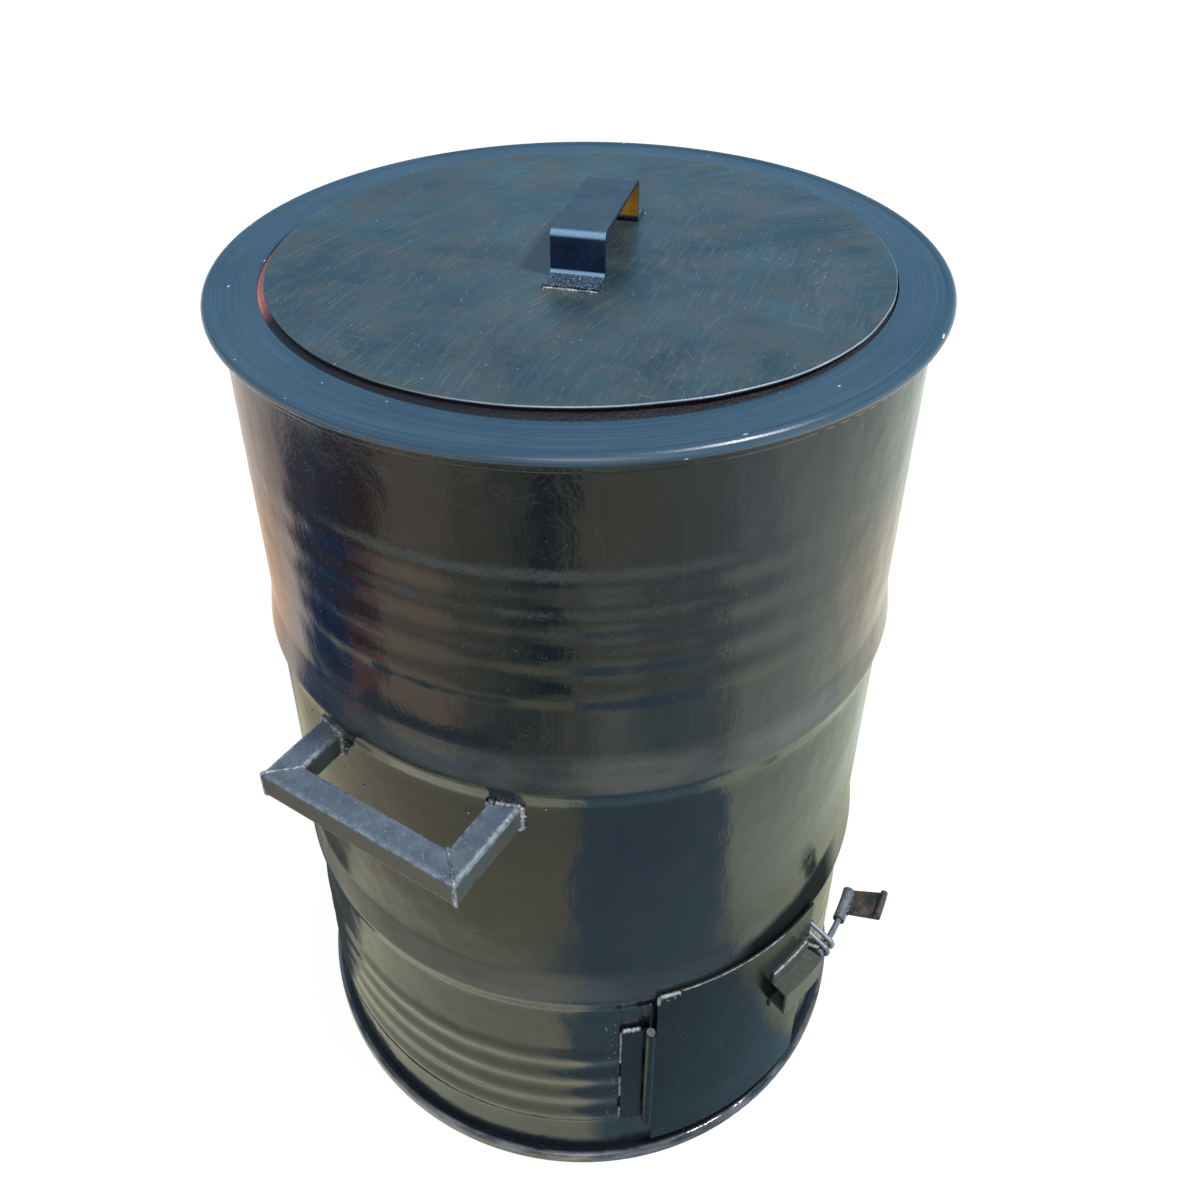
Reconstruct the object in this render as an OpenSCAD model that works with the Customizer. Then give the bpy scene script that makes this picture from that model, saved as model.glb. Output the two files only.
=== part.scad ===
// Clay tandoor oven built into a steel drum, at real size in millimetres.
// The drum's axis is the Z axis and its foot stands on Z = 0.
// The fire door faces -Y. Directions round the drum are angles from the front,
// positive towards the right-hand side (+X).

/* [Drum] */
// Outer radius of the drum wall
drum_r = 287.5; // [280:0.5:300]
// Thickness of the rolled drum sheet
drum_wall = 1.5; // [1:0.1:2.5]
// Height of the drum with its rims, from the floor
drum_h = 865; // [840:1:900]
// Height of the crest of the lower rolling hoop
hoop_low_z = 280; // [276:1:286]
// How far the crest of the upper rolling hoop lies below the drum's top
hoop_high_down = 309; // [290:1:320]
// How far a rolling hoop stands out of the wall
hoop_out = 5; // [3:0.5:6]
// Height of a rolling hoop's long upper slope
hoop_rise = 34; // [26:1:38]
// Height of a rolling hoop's short lower slope
hoop_fall = 18; // [16:1:22]
// Height of the flat crest of a rolling hoop
hoop_crest = 4; // [2:0.5:6]
// Number of stiffening beads in each beaded section
bead_count = 4; // [2:1:5]
// Distance between neighbouring stiffening beads
bead_pitch = 34; // [28:1:38]
// How far a stiffening bead stands out of the wall
bead_out = 3; // [1.5:0.5:3.5]
// Half the height of one stiffening bead
bead_half = 12; // [8:1:13]
// Height of the middle of the lower group of beads
beads_low_z = 131; // [120:1:140]
// How far the middle of the upper group of beads lies below the drum's top
beads_high_down = 158; // [135:1:175]

/* [Rims and floor] */
// How far the foot rim stands out of the wall
foot_rim_out = 9; // [6:0.5:11]
// Height of the foot rim
foot_rim_h = 16; // [12:0.5:20]
// How far the top rim stands out of the wall
top_rim_out = 6.5; // [5:0.5:8]
// Height of the top rim
top_rim_h = 14; // [12:0.5:18]
// Radius that rounds the edges of both rims
rim_round = 4; // [2:0.5:5]
// Thickness of the rims' inner leg
rim_leg = 6; // [4:0.5:8]
// Depth to which the wall is gripped by each rim
rim_grip = 10; // [8:0.5:11]
// Thickness of the drum's floor plate
floor_t = 2; // [1.5:0.1:3]
// Height of the underside of the floor plate above the ground
floor_z = 8; // [6:0.5:9]
// Height of the top of the refractory hearth slab
hearth_top = 50; // [40:1:58]

/* [Top ring] */
// How far the ring's rolled edge stands out of the drum wall
ring_out = 12.5; // [10:0.5:16]
// Width of the ring from its outer edge to its hole
ring_w = 43; // [38:0.5:46]
// Thickness of the ring plate
ring_t = 3; // [2:0.5:4]
// Diameter of the ring's rolled edge
edge_d = 10; // [9:0.5:12]
// How far the ring plate is let into its rolled edge
ring_in_edge = 3; // [2:0.5:4]
// How far the rolled edge stands above the flat of the ring
edge_up = 1.5; // [0.5:0.5:2]

/* [Clay pot] */
// Inner radius of the pot at its mouth
mouth_r = 165; // [150:1:170]
// Thickness of the wool packed round the widest part of the pot
wool_t = 38; // [34:1:48]
// Height of the widest part of the pot
belly_z = 300; // [280:5:340]
// How much narrower the pot is at the grate than at its widest
foot_in = 7; // [4:1:12]
// Width of the ledge that carries the grate
ledge_w = 12; // [8:1:14]
// Height of the top of the ledge
ledge_z = 184; // [182:1:200]
// Thickness of the clay wall
pot_wall = 34; // [28:1:36]
// How far the pot's lip lies below the seat of the lid
lip_drop = 2; // [1:0.5:4]
// Radius that rounds the edges of the pot's lip
lip_round = 8; // [4:1:12]
// Depth of the collar that ties the pot to the drum
collar_h = 26; // [20:1:40]
// How far the collar's flat top stands above the ring
seat_up = 1.5; // [0.5:0.5:3]
// Width of the collar's slope between the ring and the flat
seat_slope = 13; // [10:1:16]
// Width of the flat on which the lid rests
seat_w = 38; // [30:1:42]

/* [Air port] */
// Clear width of the port through the drum wall
port_w = 150; // [130:1:156]
// Clear height of the port through the drum wall
port_h = 200; // [180:1:202]
// Thickness of the port's sheet frame
port_t = 2; // [1.5:0.5:3]
// Width of the arched hole through the clay wall
arch_w = 112; // [90:1:120]
// Height of the arched hole from the hearth to its crown
arch_h = 122; // [100:1:126]

/* [Grate] */
// Thickness of the cast grate
grate_t = 10; // [8:1:14]
// Width of one slot in the grate
slot_w = 12; // [8:1:14]
// Distance between neighbouring slots
slot_pitch = 24; // [20:1:30]
// Width of the solid rim of the grate
grate_rim = 18; // [14:1:24]
// Width of the rib across the middle of the grate
grate_rib = 18; // [12:1:24]
// Gap between the grate and the clay round it
grate_gap = 1.5; // [1:0.5:3]

/* [Carrying handles] */
// Direction in which the left handle's legs point, from the front
handle_dir = -64; // [-70:1:-50]
// How far the handle's middle sits to the side of the line from the drum's axis
handle_side = 17; // [0:1:24]
// Gap between the handle tube and the slope of the hoop above it
handle_gap = 0.5; // [0.5:0.5:6]
// Width and height of the square handle tube
tube_w = 25; // [20:1:26]
// Wall of the square handle tube
tube_wall = 2; // [1.5:0.5:3]
// Radius of the tube's outer corners
tube_round = 4; // [2:0.5:5]
// Length of the grip over both corners
grip_l = 196; // [170:1:220]
// How far the outer face of the grip stands out of the drum wall
grip_out = 62.5; // [50:0.5:80]

/* [Lid] */
// Gap between the lid's edge and the ring's hole all round
lid_gap = 5; // [3:0.5:8]
// How far the loose lid lies off the drum's middle
lid_off = 6; // [0:0.5:6]
// Direction in which the loose lid lies off the middle, from the front
lid_off_dir = 110; // [0:5:355]
// Thickness of the lid plate
lid_t = 2.5; // [2:0.5:4]
// Width of the strip that makes the lid handle
strip_w = 44; // [36:1:50]
// Thickness of the strip
strip_t = 3; // [2:0.5:4]
// Length of the top of the lid handle
strip_l = 126; // [110:1:140]
// Height of the lid handle above the lid
strip_h = 39; // [34:1:60]
// Length of each foot of the lid handle, beyond the bend
strip_foot = 20; // [15:1:30]
// Inner radius of the strip's bends
strip_bend = 4; // [3:0.5:6]
// Direction in which the lid handle lies, from the front
strip_dir = 134; // [90:1:180]
// How far the lid handle sits to the right of the lid's middle
strip_side = 15; // [0:1:20]

/* [Door] */
// Direction of the door's free edge, from the front
door_edge_dir = 18; // [17:0.25:20]
// Height of the door's lower edge
door_low = 34; // [24:1:40]
// Height of the door's upper edge
door_high = 284; // [282:1:300]
// Thickness of the door plate
door_t = 2; // [1.5:0.1:2.5]
// Gap between the closed door's back and whatever it passes over
door_gap = 1.2; // [0.5:0.1:1.5]

/* [Hinge] */
// Direction of the hinge pin, from the front
hinge_dir = -19; // [-20:0.25:-18.75]
// Height of the lower end of the hinge
hinge_low = 76; // [60:1:90]
// Length of the hinge
hinge_l = 154; // [120:1:170]
// Number of knuckles, an odd number
knuckles = 5; // [3:2:7]
// Gap between neighbouring knuckles
knuckle_gap = 0.6; // [0.3:0.1:1]
// Outer radius of the knuckles
barrel_r = 5; // [4.5:0.5:6]
// Radius of the hinge pin
pin_r = 2.5; // [2:0.25:3]
// Radial running clearance of the pin in the door's knuckles
pin_fit = 0.06; // [0.03:0.01:0.09]
// Thickness of both hinge leaves
leaf_t = 2.2; // [1.8:0.1:2.5]
// Width of each hinge leaf beside the barrel
leaf_w = 20; // [15:1:24]
// Gap between a leaf and the other leaf's knuckles
leaf_gap = 0.8; // [0.5:0.1:1.5]
// Radius of the pin's riveted heads
pin_head_r = 4; // [3.5:0.25:4.5]
// Thickness of the pin's riveted heads
pin_head_t = 1.5; // [1:0.25:2.5]

/* [Bolt] */
// Height of the door bolt
bolt_z = 210; // [205:1:222]
// Distance from the drum wall to the middle of the bolt
bolt_out = 20; // [19:0.5:22]
// Radius of the bolt's round bar
bolt_r = 3; // [2.5:0.25:3.5]
// Angle through which the bolt slides round the drum to lock the door
bolt_slide_angle = 4.8; // [4:0.1:5.2]
// Gap between the drawn bolt's nose and the door's edge
nose_gap = 2.7; // [1.6:0.1:3.2]
// Radius of the bolt's upset nose
nose_r = 4.2; // [4:0.1:4.4]
// Length of the bolt's upset nose
nose_len = 3.8; // [2.6:0.1:4.2]
// Distance between the middles of the two guides
guide_pitch = 10; // [8:0.5:12]
// Radius of the guides' round bar
guide_bar_r = 2.5; // [2:0.25:2.75]
// Radial clearance between the bolt and a guide
guide_gap = 0.5; // [0.3:0.1:0.8]
// Gap left between a guide and the nose or sleeve when it is nearest
guide_stop = 1.5; // [1:0.1:3]
// Angle at which a guide's legs spread towards the wall
guide_spread = 22; // [10:1:30]
// Length of the sleeve
sleeve_l = 38; // [32:1:46]
// Outer radius of the sleeve
sleeve_r = 6; // [5:0.25:6.5]
// Radius of the sleeve's open mouth
sleeve_mouth_r = 4.6; // [4:0.1:4.8]
// Depth of the sleeve's open mouth
sleeve_mouth = 10; // [6:0.5:12]
// Distance from the sleeve's mouth to the thumb plate
thumb_back = 9; // [4:0.5:12]
// Width of the thumb plate, from the sleeve to its lip
thumb_w = 32; // [24:1:38]
// Thickness of the thumb plate
thumb_t = 3; // [2:0.5:4]
// Angle at which the thumb plate rises from level
thumb_tilt = 23; // [0:1:30]
// Radius of the thumb plate's rolled lip
thumb_lip_r = 3.5; // [3:0.5:5]

/* [Keeper] */
// Direction of the end of the keeper away from the bolt
keeper_dir = 7; // [5:0.5:10]
// Distance between the keeper's near end and the door's edge
keeper_in = 3.2; // [2:0.1:5]
// Gap between the bolt's nose and the top of the keeper
keeper_above = 0.8; // [0.6:0.1:3]
// Gap between the bolt's nose and the bottom of the keeper
keeper_below = 16; // [2:1:20]
// Thickness of the keeper strip
keeper_t = 2.5; // [2:0.1:3]
// Gap between the bolt's nose and the keeper's outer face
keeper_gap = 1; // [0.8:0.1:3]
// Length of each keeper foot
keeper_foot = 11; // [8:1:16]

/* [Hidden] */
$fn = 128;

// Overlap that makes a cut pass cleanly through a face
cut = 1;
// Cuts that reach right across the drum
far = 2 * drum_r;

enamel = "#1c2733";
enamel_blue = "#33475a";
bare_steel = "#59636c";
terracotta = "#a9623f";
mortar = "#9a7a62";
wool = "#b8ab8f";
iron = "#3b3a39";

// The angle that an arc of the given length takes up at radius r
function arc_angle(length, r) = length / r * 180 / PI;

drum_in_r = drum_r - drum_wall;
hoop_r = drum_r + hoop_out;
bead_r = drum_r + bead_out;
rim_in_r = drum_in_r - rim_leg;
wall_low = foot_rim_h - rim_grip;
wall_high = drum_h - top_rim_h + rim_grip;

ring_r = drum_r + ring_out;
ring_hole_r = ring_r - ring_w;
ring_top = drum_h + ring_t;
edge_r = edge_d / 2;

seat_z = ring_top + seat_up;
seat_out_r = ring_hole_r - seat_slope;
seat_in_r = seat_out_r - seat_w;
collar_low = drum_h - collar_h;
lid_r = ring_hole_r - lid_gap;

belly_r = drum_in_r - wool_t - pot_wall;
foot_r = belly_r - foot_in;
pot_top = seat_z - lip_drop;

hoop_high_z = drum_h - hoop_high_down;
beads_high_z = drum_h - beads_high_down;
handle_z = hoop_high_z - hoop_crest / 2 - hoop_fall - handle_gap - tube_w / 2;
grip_reach = drum_r + grip_out;

door_in_r = max(hoop_r + door_gap, bead_r + door_gap + leaf_t);
door_out_r = door_in_r + door_t;
hinge_r = bead_r + door_gap + barrel_r;
knuckle_l = hinge_l / knuckles;

bolt_path_r = drum_r + bolt_out;
guide_half = arc_angle(guide_bar_r, bolt_path_r);
guide_clear = arc_angle(guide_stop, bolt_path_r);
nose_dir = door_edge_dir + arc_angle(nose_gap, bolt_path_r);
nose_end = nose_dir + arc_angle(nose_len, bolt_path_r);
guide_near_dir = nose_end + guide_clear + guide_half;
guide_far_dir = guide_near_dir + arc_angle(guide_pitch, bolt_path_r);
sleeve_dir = guide_far_dir + guide_half + guide_clear + bolt_slide_angle;
sleeve_end = sleeve_dir + arc_angle(sleeve_l, bolt_path_r);
mouth_end = sleeve_dir + arc_angle(sleeve_mouth, bolt_path_r);
thumb_dir = sleeve_dir + arc_angle(thumb_back, bolt_path_r);

// ---- shared helpers ----------------------------------------------------------

// Turns what is drawn at the front to the direction dir round the drum
module at(dir) {
    rotate([0, 0, dir]) children();
}

// Sweeps an (r, z) profile round the drum from one direction to another
module sweep(from, to) {
    rotate([0, 0, from - 90]) rotate_extrude(angle = to - from) children();
}

// A rectangle with round corners, centred
module round_rect(w, h, r) {
    square([w - 2 * r, h], center = true);
    square([w, h - 2 * r], center = true);
    for (x = [-1, 1], y = [-1, 1]) {
        translate([x * (w / 2 - r), y * (h / 2 - r)]) circle(r = r);
    }
}

// ---- drum --------------------------------------------------------------------

// The (r, z) outline of a bead that rises out of the wall as one shallow arc
module bead_arc(z, wall_r) {
    arc_r = (bead_half * bead_half + bead_out * bead_out) / (2 * bead_out);
    intersection() {
        translate([wall_r + bead_out - arc_r, z]) circle(r = arc_r);
        translate([wall_r - cut, z - bead_half]) square([bead_out + cut, 2 * bead_half]);
    }
}

// The (r, z) outline of a rolling hoop: a long upper and a short lower slope
module hoop_arc(z, wall_r) {
    high = z + hoop_crest / 2;
    low = z - hoop_crest / 2;
    polygon([[0, low - hoop_fall], [wall_r, low - hoop_fall], [wall_r + hoop_out, low],
        [wall_r + hoop_out, high], [wall_r, high + hoop_rise], [0, high + hoop_rise]]);
}

// The filled (r, z) outline of the drum wall with its hoops and beads
module wall_outline(wall_r) {
    translate([0, wall_low]) square([wall_r, wall_high - wall_low]);
    for (z = [hoop_low_z, hoop_high_z]) hoop_arc(z, wall_r);
    for (mid = [beads_low_z, beads_high_z], i = [0:bead_count - 1]) {
        bead_arc(mid + (i - (bead_count - 1) / 2) * bead_pitch, wall_r);
    }
}

// The block that the port frame fills, through the front of the wall
module port_block() {
    w = port_w + 2 * port_t;
    translate([-w / 2, -far, hearth_top]) cube([w, far, port_h + port_t]);
}

module drum_shell() {
    color(enamel) difference() {
        rotate_extrude() difference() {
            wall_outline(drum_r);
            wall_outline(drum_in_r);
            translate([0, wall_low - cut]) square([drum_in_r, wall_high]);
        }
        port_block();
    }
}

// The section of a rolled rim that grips the wall's edge, from height low up
module rim_section(low, height, out) {
    width = drum_r + out - rim_in_r;
    translate([rim_in_r + width / 2, low + height / 2]) round_rect(width, height, rim_round);
}

// The sheet of the wall, as a section that slots the rims
module wall_section() {
    translate([drum_in_r, wall_low]) square([drum_wall, wall_high - wall_low]);
}

module foot_rim() {
    color(enamel) rotate_extrude() difference() {
        rim_section(0, foot_rim_h, foot_rim_out);
        wall_section();
    }
}

module top_rim_section() {
    rim_section(drum_h - top_rim_h, top_rim_h, top_rim_out);
}

module top_rim() {
    color(enamel) rotate_extrude() difference() {
        top_rim_section();
        wall_section();
    }
}

module drum_floor() {
    color(enamel) translate([0, 0, floor_z]) cylinder(r = rim_in_r, h = floor_t);
}

// ---- top ring ----------------------------------------------------------------

module ring_section() {
    plate_w = ring_w - edge_d + ring_in_edge;
    translate([ring_hole_r, drum_h]) square([plate_w, ring_t]);
}

module top_ring() {
    color(enamel_blue) rotate_extrude() ring_section();
}

// The ring's rolled edge, closed down over the top rim of the drum
module ring_edge() {
    color(enamel_blue) rotate_extrude() difference() {
        translate([ring_r - edge_r, ring_top + edge_up - edge_r]) circle(r = edge_r);
        ring_section();
        top_rim_section();
    }
}

// ---- clay pot and what packs it into the drum --------------------------------

pot_steps = 14;

// Inner radius of the pot at height z above the ledge
function pot_r(z) = z < belly_z
    ? belly_r - (belly_r - foot_r) * pow((belly_z - z) / (belly_z - ledge_z), 2)
    : mouth_r + (belly_r - mouth_r) * cos(90 * (z - belly_z) / (pot_top - belly_z));

function step_z(i) = ledge_z + (pot_top - ledge_z) * i / pot_steps;

// The filled outer outline of the pot
module pot_outer() {
    polygon(concat([[0, hearth_top], [foot_r + pot_wall, hearth_top]],
        [for (i = [0:pot_steps]) [pot_r(step_z(i)) + pot_wall, step_z(i)]],
        [[0, pot_top]]));
}

// The outline of the hollow in the pot, open below and above
module pot_inner() {
    polygon(concat([[0, hearth_top - cut], [foot_r - ledge_w, hearth_top - cut],
        [foot_r - ledge_w, ledge_z]],
        [for (i = [0:pot_steps]) [pot_r(step_z(i)), step_z(i)]],
        [[mouth_r, pot_top + cut], [0, pot_top + cut]]));
}

// The square corners that are cut off the lip, one inside and one outside
module lip_corners() {
    for (side = [-1, 1]) {
        edge = mouth_r + pot_wall / 2 + side * pot_wall / 2;
        centre = edge - side * lip_round;
        difference() {
            translate([centre + (side < 0 ? -lip_round - cut : 0), pot_top - lip_round]) {
                square([lip_round + cut, lip_round + cut]);
            }
            translate([centre, pot_top - lip_round]) circle(r = lip_round);
        }
    }
}

// The arched hole that lets air and ash through the clay
module arch_hole() {
    rotate([90, 0, 0]) linear_extrude(far) {
        translate([-arch_w / 2, hearth_top - cut]) square([arch_w, arch_h - arch_w / 2 + cut]);
        translate([0, hearth_top + arch_h - arch_w / 2]) circle(r = arch_w / 2);
    }
}

module clay_pot() {
    color(terracotta) difference() {
        rotate_extrude() difference() {
            pot_outer();
            pot_inner();
            lip_corners();
        }
        arch_hole();
    }
}

module mouth_collar() {
    color(mortar) rotate_extrude() difference() {
        polygon([[0, collar_low], [drum_in_r, collar_low], [drum_in_r, drum_h],
            [ring_hole_r, drum_h], [seat_out_r, seat_z], [seat_in_r, seat_z],
            [mouth_r + pot_wall, pot_top - lip_round], [0, pot_top - lip_round]]);
        pot_outer();
        top_rim_section();
    }
}

module insulation_fill() {
    color(wool) difference() {
        rotate_extrude() difference() {
            translate([0, hearth_top]) square([drum_in_r, collar_low - hearth_top]);
            pot_outer();
        }
        port_block();
    }
}

module hearth_slab() {
    under = floor_z + floor_t;
    color(mortar) rotate_extrude() difference() {
        translate([0, under]) square([drum_in_r, hearth_top - under]);
        rim_section(0, foot_rim_h, foot_rim_out);
    }
}

// The cast plate that holds the charcoal above the ash, slotted both sides of a rib
module fire_grate() {
    plate_r = foot_r - grate_gap;
    slot_r = plate_r - grate_rim;
    rows = floor((slot_r - slot_w) / slot_pitch);
    color(iron) translate([0, 0, ledge_z]) difference() {
        cylinder(r = plate_r, h = grate_t);
        for (i = [-rows:rows], side = [-1, 1]) {
            reach = sqrt(pow(slot_r, 2) - pow(abs(i) * slot_pitch + slot_w / 2, 2));
            run = reach - grate_rib / 2;
            if (run > 2 * slot_w) {
                translate([i * slot_pitch, side * (grate_rib / 2 + run / 2), -cut]) {
                    linear_extrude(grate_t + 2 * cut) slot_outline(run);
                }
            }
        }
    }
}

// A slot with round ends
module slot_outline(run) {
    square([slot_w, run - slot_w], center = true);
    for (end = [-1, 1]) translate([0, end * (run - slot_w) / 2]) circle(d = slot_w);
}

// The sheet frame that lines the port from the drum wall to the pot
module port_frame() {
    color(bare_steel) difference() {
        intersection() {
            port_block();
            cylinder(r = drum_r, h = drum_h);
        }
        translate([-port_w / 2, -far - cut, hearth_top - cut]) {
            cube([port_w, far + cut, port_h + cut]);
        }
        rotate_extrude() pot_outer();
    }
}

// ---- carrying handles --------------------------------------------------------

// One length of square tube along Y, open at both ends
module square_tube(length) {
    rotate([90, 0, 0]) linear_extrude(length, center = true) difference() {
        round_rect(tube_w, tube_w, tube_round);
        square(tube_w - 2 * tube_wall, center = true);
    }
}

// The space behind the 45 degree mitre at the grip's corner on the given side
module behind_mitre(side) {
    translate([side * grip_l / 2, -grip_reach, 0]) rotate([0, 0, side * 45]) {
        translate([side > 0 ? 0 : -far, -far / 2, -tube_w]) cube([far, far, 2 * tube_w]);
    }
}

// Moves what is drawn about the middle of a handle to its place on the drum
module at_handle(dir) {
    at(dir) translate([handle_side, 0, handle_z]) children();
}

module grip(dir) {
    color(enamel_blue) at_handle(dir) difference() {
        translate([0, tube_w / 2 - grip_reach, 0]) rotate([0, 0, 90]) square_tube(grip_l);
        for (side = [-1, 1]) behind_mitre(side);
    }
}

module leg(dir, side) {
    color(enamel_blue) difference() {
        at_handle(dir) intersection() {
            translate([side * (grip_l - tube_w) / 2, -grip_reach / 2, 0]) {
                square_tube(grip_reach);
            }
            behind_mitre(side);
        }
        cylinder(r = drum_r, h = drum_h);
    }
}

module left_grip() {
    grip(handle_dir);
}

module left_leg_front() {
    leg(handle_dir, 1);
}

module left_leg_rear() {
    leg(handle_dir, -1);
}

module right_grip() {
    grip(handle_dir + 180);
}

module right_leg_front() {
    leg(handle_dir + 180, -1);
}

module right_leg_rear() {
    leg(handle_dir + 180, 1);
}

// ---- lid ---------------------------------------------------------------------

module lid_plate() {
    color(enamel_blue) at(lid_off_dir) translate([0, -lid_off, seat_z]) {
        cylinder(r = lid_r, h = lid_t);
    }
}

// A quarter ring of strip, from +X round to +Y
module bend() {
    intersection() {
        difference() {
            circle(r = strip_bend + strip_t);
            circle(r = strip_bend);
        }
        square(strip_bend + strip_t);
    }
}

// Half of the hat-shaped side view of the strip: half top, upright and foot
module strip_half() {
    out = strip_bend + strip_t;
    translate([0, strip_h - strip_t]) square([strip_l / 2 - out, strip_t]);
    translate([strip_l / 2 - out, strip_h - out]) bend();
    translate([strip_l / 2 - strip_t, out]) square([strip_t, strip_h - 2 * out]);
    translate([strip_l / 2 + strip_bend, out]) rotate(180) bend();
    translate([strip_l / 2 + strip_bend, 0]) square([strip_foot, strip_t]);
}

module lid_handle() {
    color(enamel_blue) at(lid_off_dir) translate([0, -lid_off, seat_z + lid_t]) {
        rotate([0, 0, -lid_off_dir]) translate([strip_side, 0, 0]) at(strip_dir) {
            rotate([90, 0, 90]) linear_extrude(strip_w, center = true) {
                strip_half();
                mirror([1, 0]) strip_half();
            }
        }
    }
}

// ---- door and hinge ----------------------------------------------------------

// A flat-topped curved plate between two radii, directions and heights
module curved_plate(r_in, t, from, to, low, high) {
    sweep(from, to) translate([r_in, low]) square([t, high - low]);
}

// Where the door plate may begin beside the barrel
hinge_side = arc_angle(barrel_r + leaf_gap, hinge_r);

module door_plate() {
    color(enamel) {
        curved_plate(door_in_r, door_t, hinge_dir + hinge_side, door_edge_dir, door_low, door_high);
    }
}

// The plan view of a curved plate between two directions
module plate_plan(r_in, t, from, to) {
    intersection() {
        difference() {
            circle(r = r_in + t);
            circle(r = r_in);
        }
        polygon([[0, 0], far * [sin(from), -cos(from)], far * [sin(to), -cos(to)]]);
    }
}

// A hinge leaf: its plate beside the barrel, and every second knuckle with its lug
module hinge_leaf(leaf_r, side, first, bore_r) {
    near = hinge_dir + side * hinge_side;
    edge = near + side * arc_angle(leaf_w, leaf_r);
    for (i = [0:knuckles - 1]) {
        own = i % 2 == first;
        half_gap = knuckle_gap / 2;
        low = hinge_low + i * knuckle_l + (own || i == 0 ? half_gap : -half_gap);
        high = hinge_low + (i + 1) * knuckle_l - (own || i == knuckles - 1 ? half_gap : -half_gap);
        translate([0, 0, low]) linear_extrude(high - low) difference() {
            union() {
                plate_plan(leaf_r, leaf_t, min(own ? hinge_dir : near, edge),
                    max(own ? hinge_dir : near, edge));
                if (own) at(hinge_dir) translate([0, -hinge_r]) circle(r = barrel_r);
            }
            at(hinge_dir) translate([0, -hinge_r]) circle(r = bore_r);
        }
    }
}

module wall_hinge_leaf() {
    color(enamel) hinge_leaf(bead_r, -1, 0, pin_r);
}

module door_hinge_leaf() {
    color(enamel) hinge_leaf(door_in_r - leaf_t, 1, 1, pin_r + pin_fit);
}

module hinge_pin() {
    low = hinge_low + knuckle_gap / 2;
    length = hinge_l - knuckle_gap;
    color(bare_steel) at(hinge_dir) translate([0, -hinge_r, low]) {
        cylinder(r = pin_r, h = length);
        translate([0, 0, -pin_head_t]) cylinder(r = pin_head_r, h = pin_head_t);
        translate([0, 0, length]) cylinder(r = pin_head_r, h = pin_head_t);
    }
}

// The hat-shaped strip on the door into which the bolt slides
module door_keeper() {
    face_r = bolt_path_r + nose_r + keeper_gap;
    inner_h = keeper_below + 2 * nose_r + keeper_above;
    outer = inner_h / 2 + keeper_t;
    color(enamel) sweep(keeper_dir, door_edge_dir - arc_angle(keeper_in, door_out_r)) {
        translate([door_out_r, bolt_z - nose_r - keeper_below + inner_h / 2]) {
            for (side = [0, 1]) mirror([0, side]) {
                translate([0, inner_h / 2]) square([face_r - door_out_r, keeper_t]);
                translate([0, outer]) square([keeper_t, keeper_foot]);
            }
            translate([face_r - door_out_r, -outer]) square([keeper_t, 2 * outer]);
        }
    }
}

// ---- bolt --------------------------------------------------------------------

// A bent staple: a round-bar loop over the bolt whose legs spread to the wall
module bolt_guide(dir) {
    loop_r = bolt_r + guide_gap + guide_bar_r;
    half_turn = 90 - guide_spread;
    color(bare_steel) difference() {
        at(dir) translate([0, -bolt_path_r, bolt_z]) rotate([0, 90, 0]) {
            rotate([0, 0, -90 - half_turn]) rotate_extrude(angle = 2 * half_turn) {
                translate([loop_r, 0]) circle(r = guide_bar_r);
            }
            for (side = [-1, 1]) {
                rotate([0, 0, -90 + side * half_turn]) translate([loop_r, 0, 0]) {
                    rotate([-side * 90, 0, 0]) cylinder(r = guide_bar_r, h = 2 * bolt_out);
                }
            }
        }
        cylinder(r = drum_r, h = drum_h);
    }
}

module bolt_guide_near() {
    bolt_guide(guide_near_dir);
}

module bolt_guide_far() {
    bolt_guide(guide_far_dir);
}

// Round bar of radius r that follows the bolt's path
module path_bar(r, from, to) {
    sweep(from, to) translate([bolt_path_r, bolt_z]) circle(r = r);
}

module bolt_rod() {
    color(bare_steel) {
        path_bar(bolt_r, nose_dir, sleeve_end);
        path_bar(nose_r, nose_dir, nose_end);
    }
}

// The tube over the bolt's end; its mouth is wider than the bar inside it
module bolt_sleeve() {
    color(bare_steel) difference() {
        path_bar(sleeve_r, sleeve_dir, sleeve_end);
        path_bar(bolt_r, nose_dir, sleeve_end + bolt_slide_angle);
        path_bar(sleeve_mouth_r, nose_dir, mouth_end);
    }
}

// The plate by which the bolt is pushed, rising outwards to a rolled lip
module bolt_thumb_plate() {
    color(bare_steel) sweep(thumb_dir, sleeve_end) translate([bolt_path_r, bolt_z]) {
        difference() {
            rotate(thumb_tilt) {
                translate([0, -thumb_t / 2]) square([sleeve_r + thumb_w, thumb_t]);
                translate([sleeve_r + thumb_w, thumb_lip_r - thumb_t / 2]) {
                    circle(r = thumb_lip_r);
                }
            }
            circle(r = sleeve_r);
        }
    }
}

// ---- drawing -----------------------------------------------------------------

drum_shell();
drum_floor();
foot_rim();
top_rim();
top_ring();
ring_edge();
clay_pot();
mouth_collar();
insulation_fill();
hearth_slab();
fire_grate();
port_frame();
left_grip();
left_leg_front();
left_leg_rear();
right_grip();
right_leg_front();
right_leg_rear();
lid_plate();
lid_handle();
door_plate();
door_hinge_leaf();
door_keeper();
wall_hinge_leaf();
hinge_pin();
bolt_guide_near();
bolt_guide_far();
bolt_rod();
bolt_sleeve();
bolt_thumb_plate();
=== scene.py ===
# %% [markdown]
# # A clay oven in a steel drum
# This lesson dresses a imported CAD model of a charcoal-fired clay oven. The oven is a fired clay pot
# packed into an old steel drum, with a loose lid, two welded carrying handles and a small fire door.
# The CAD model holds every piece at its real size. Here we add what a drawing leaves out: brushed
# gloss enamel, rolled sheet that isn't quite round, weld beads, spatter, scratches and soot.

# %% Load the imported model
import math
import random

import bmesh
import bpy
from mathutils import Matrix, Vector, noise


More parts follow.
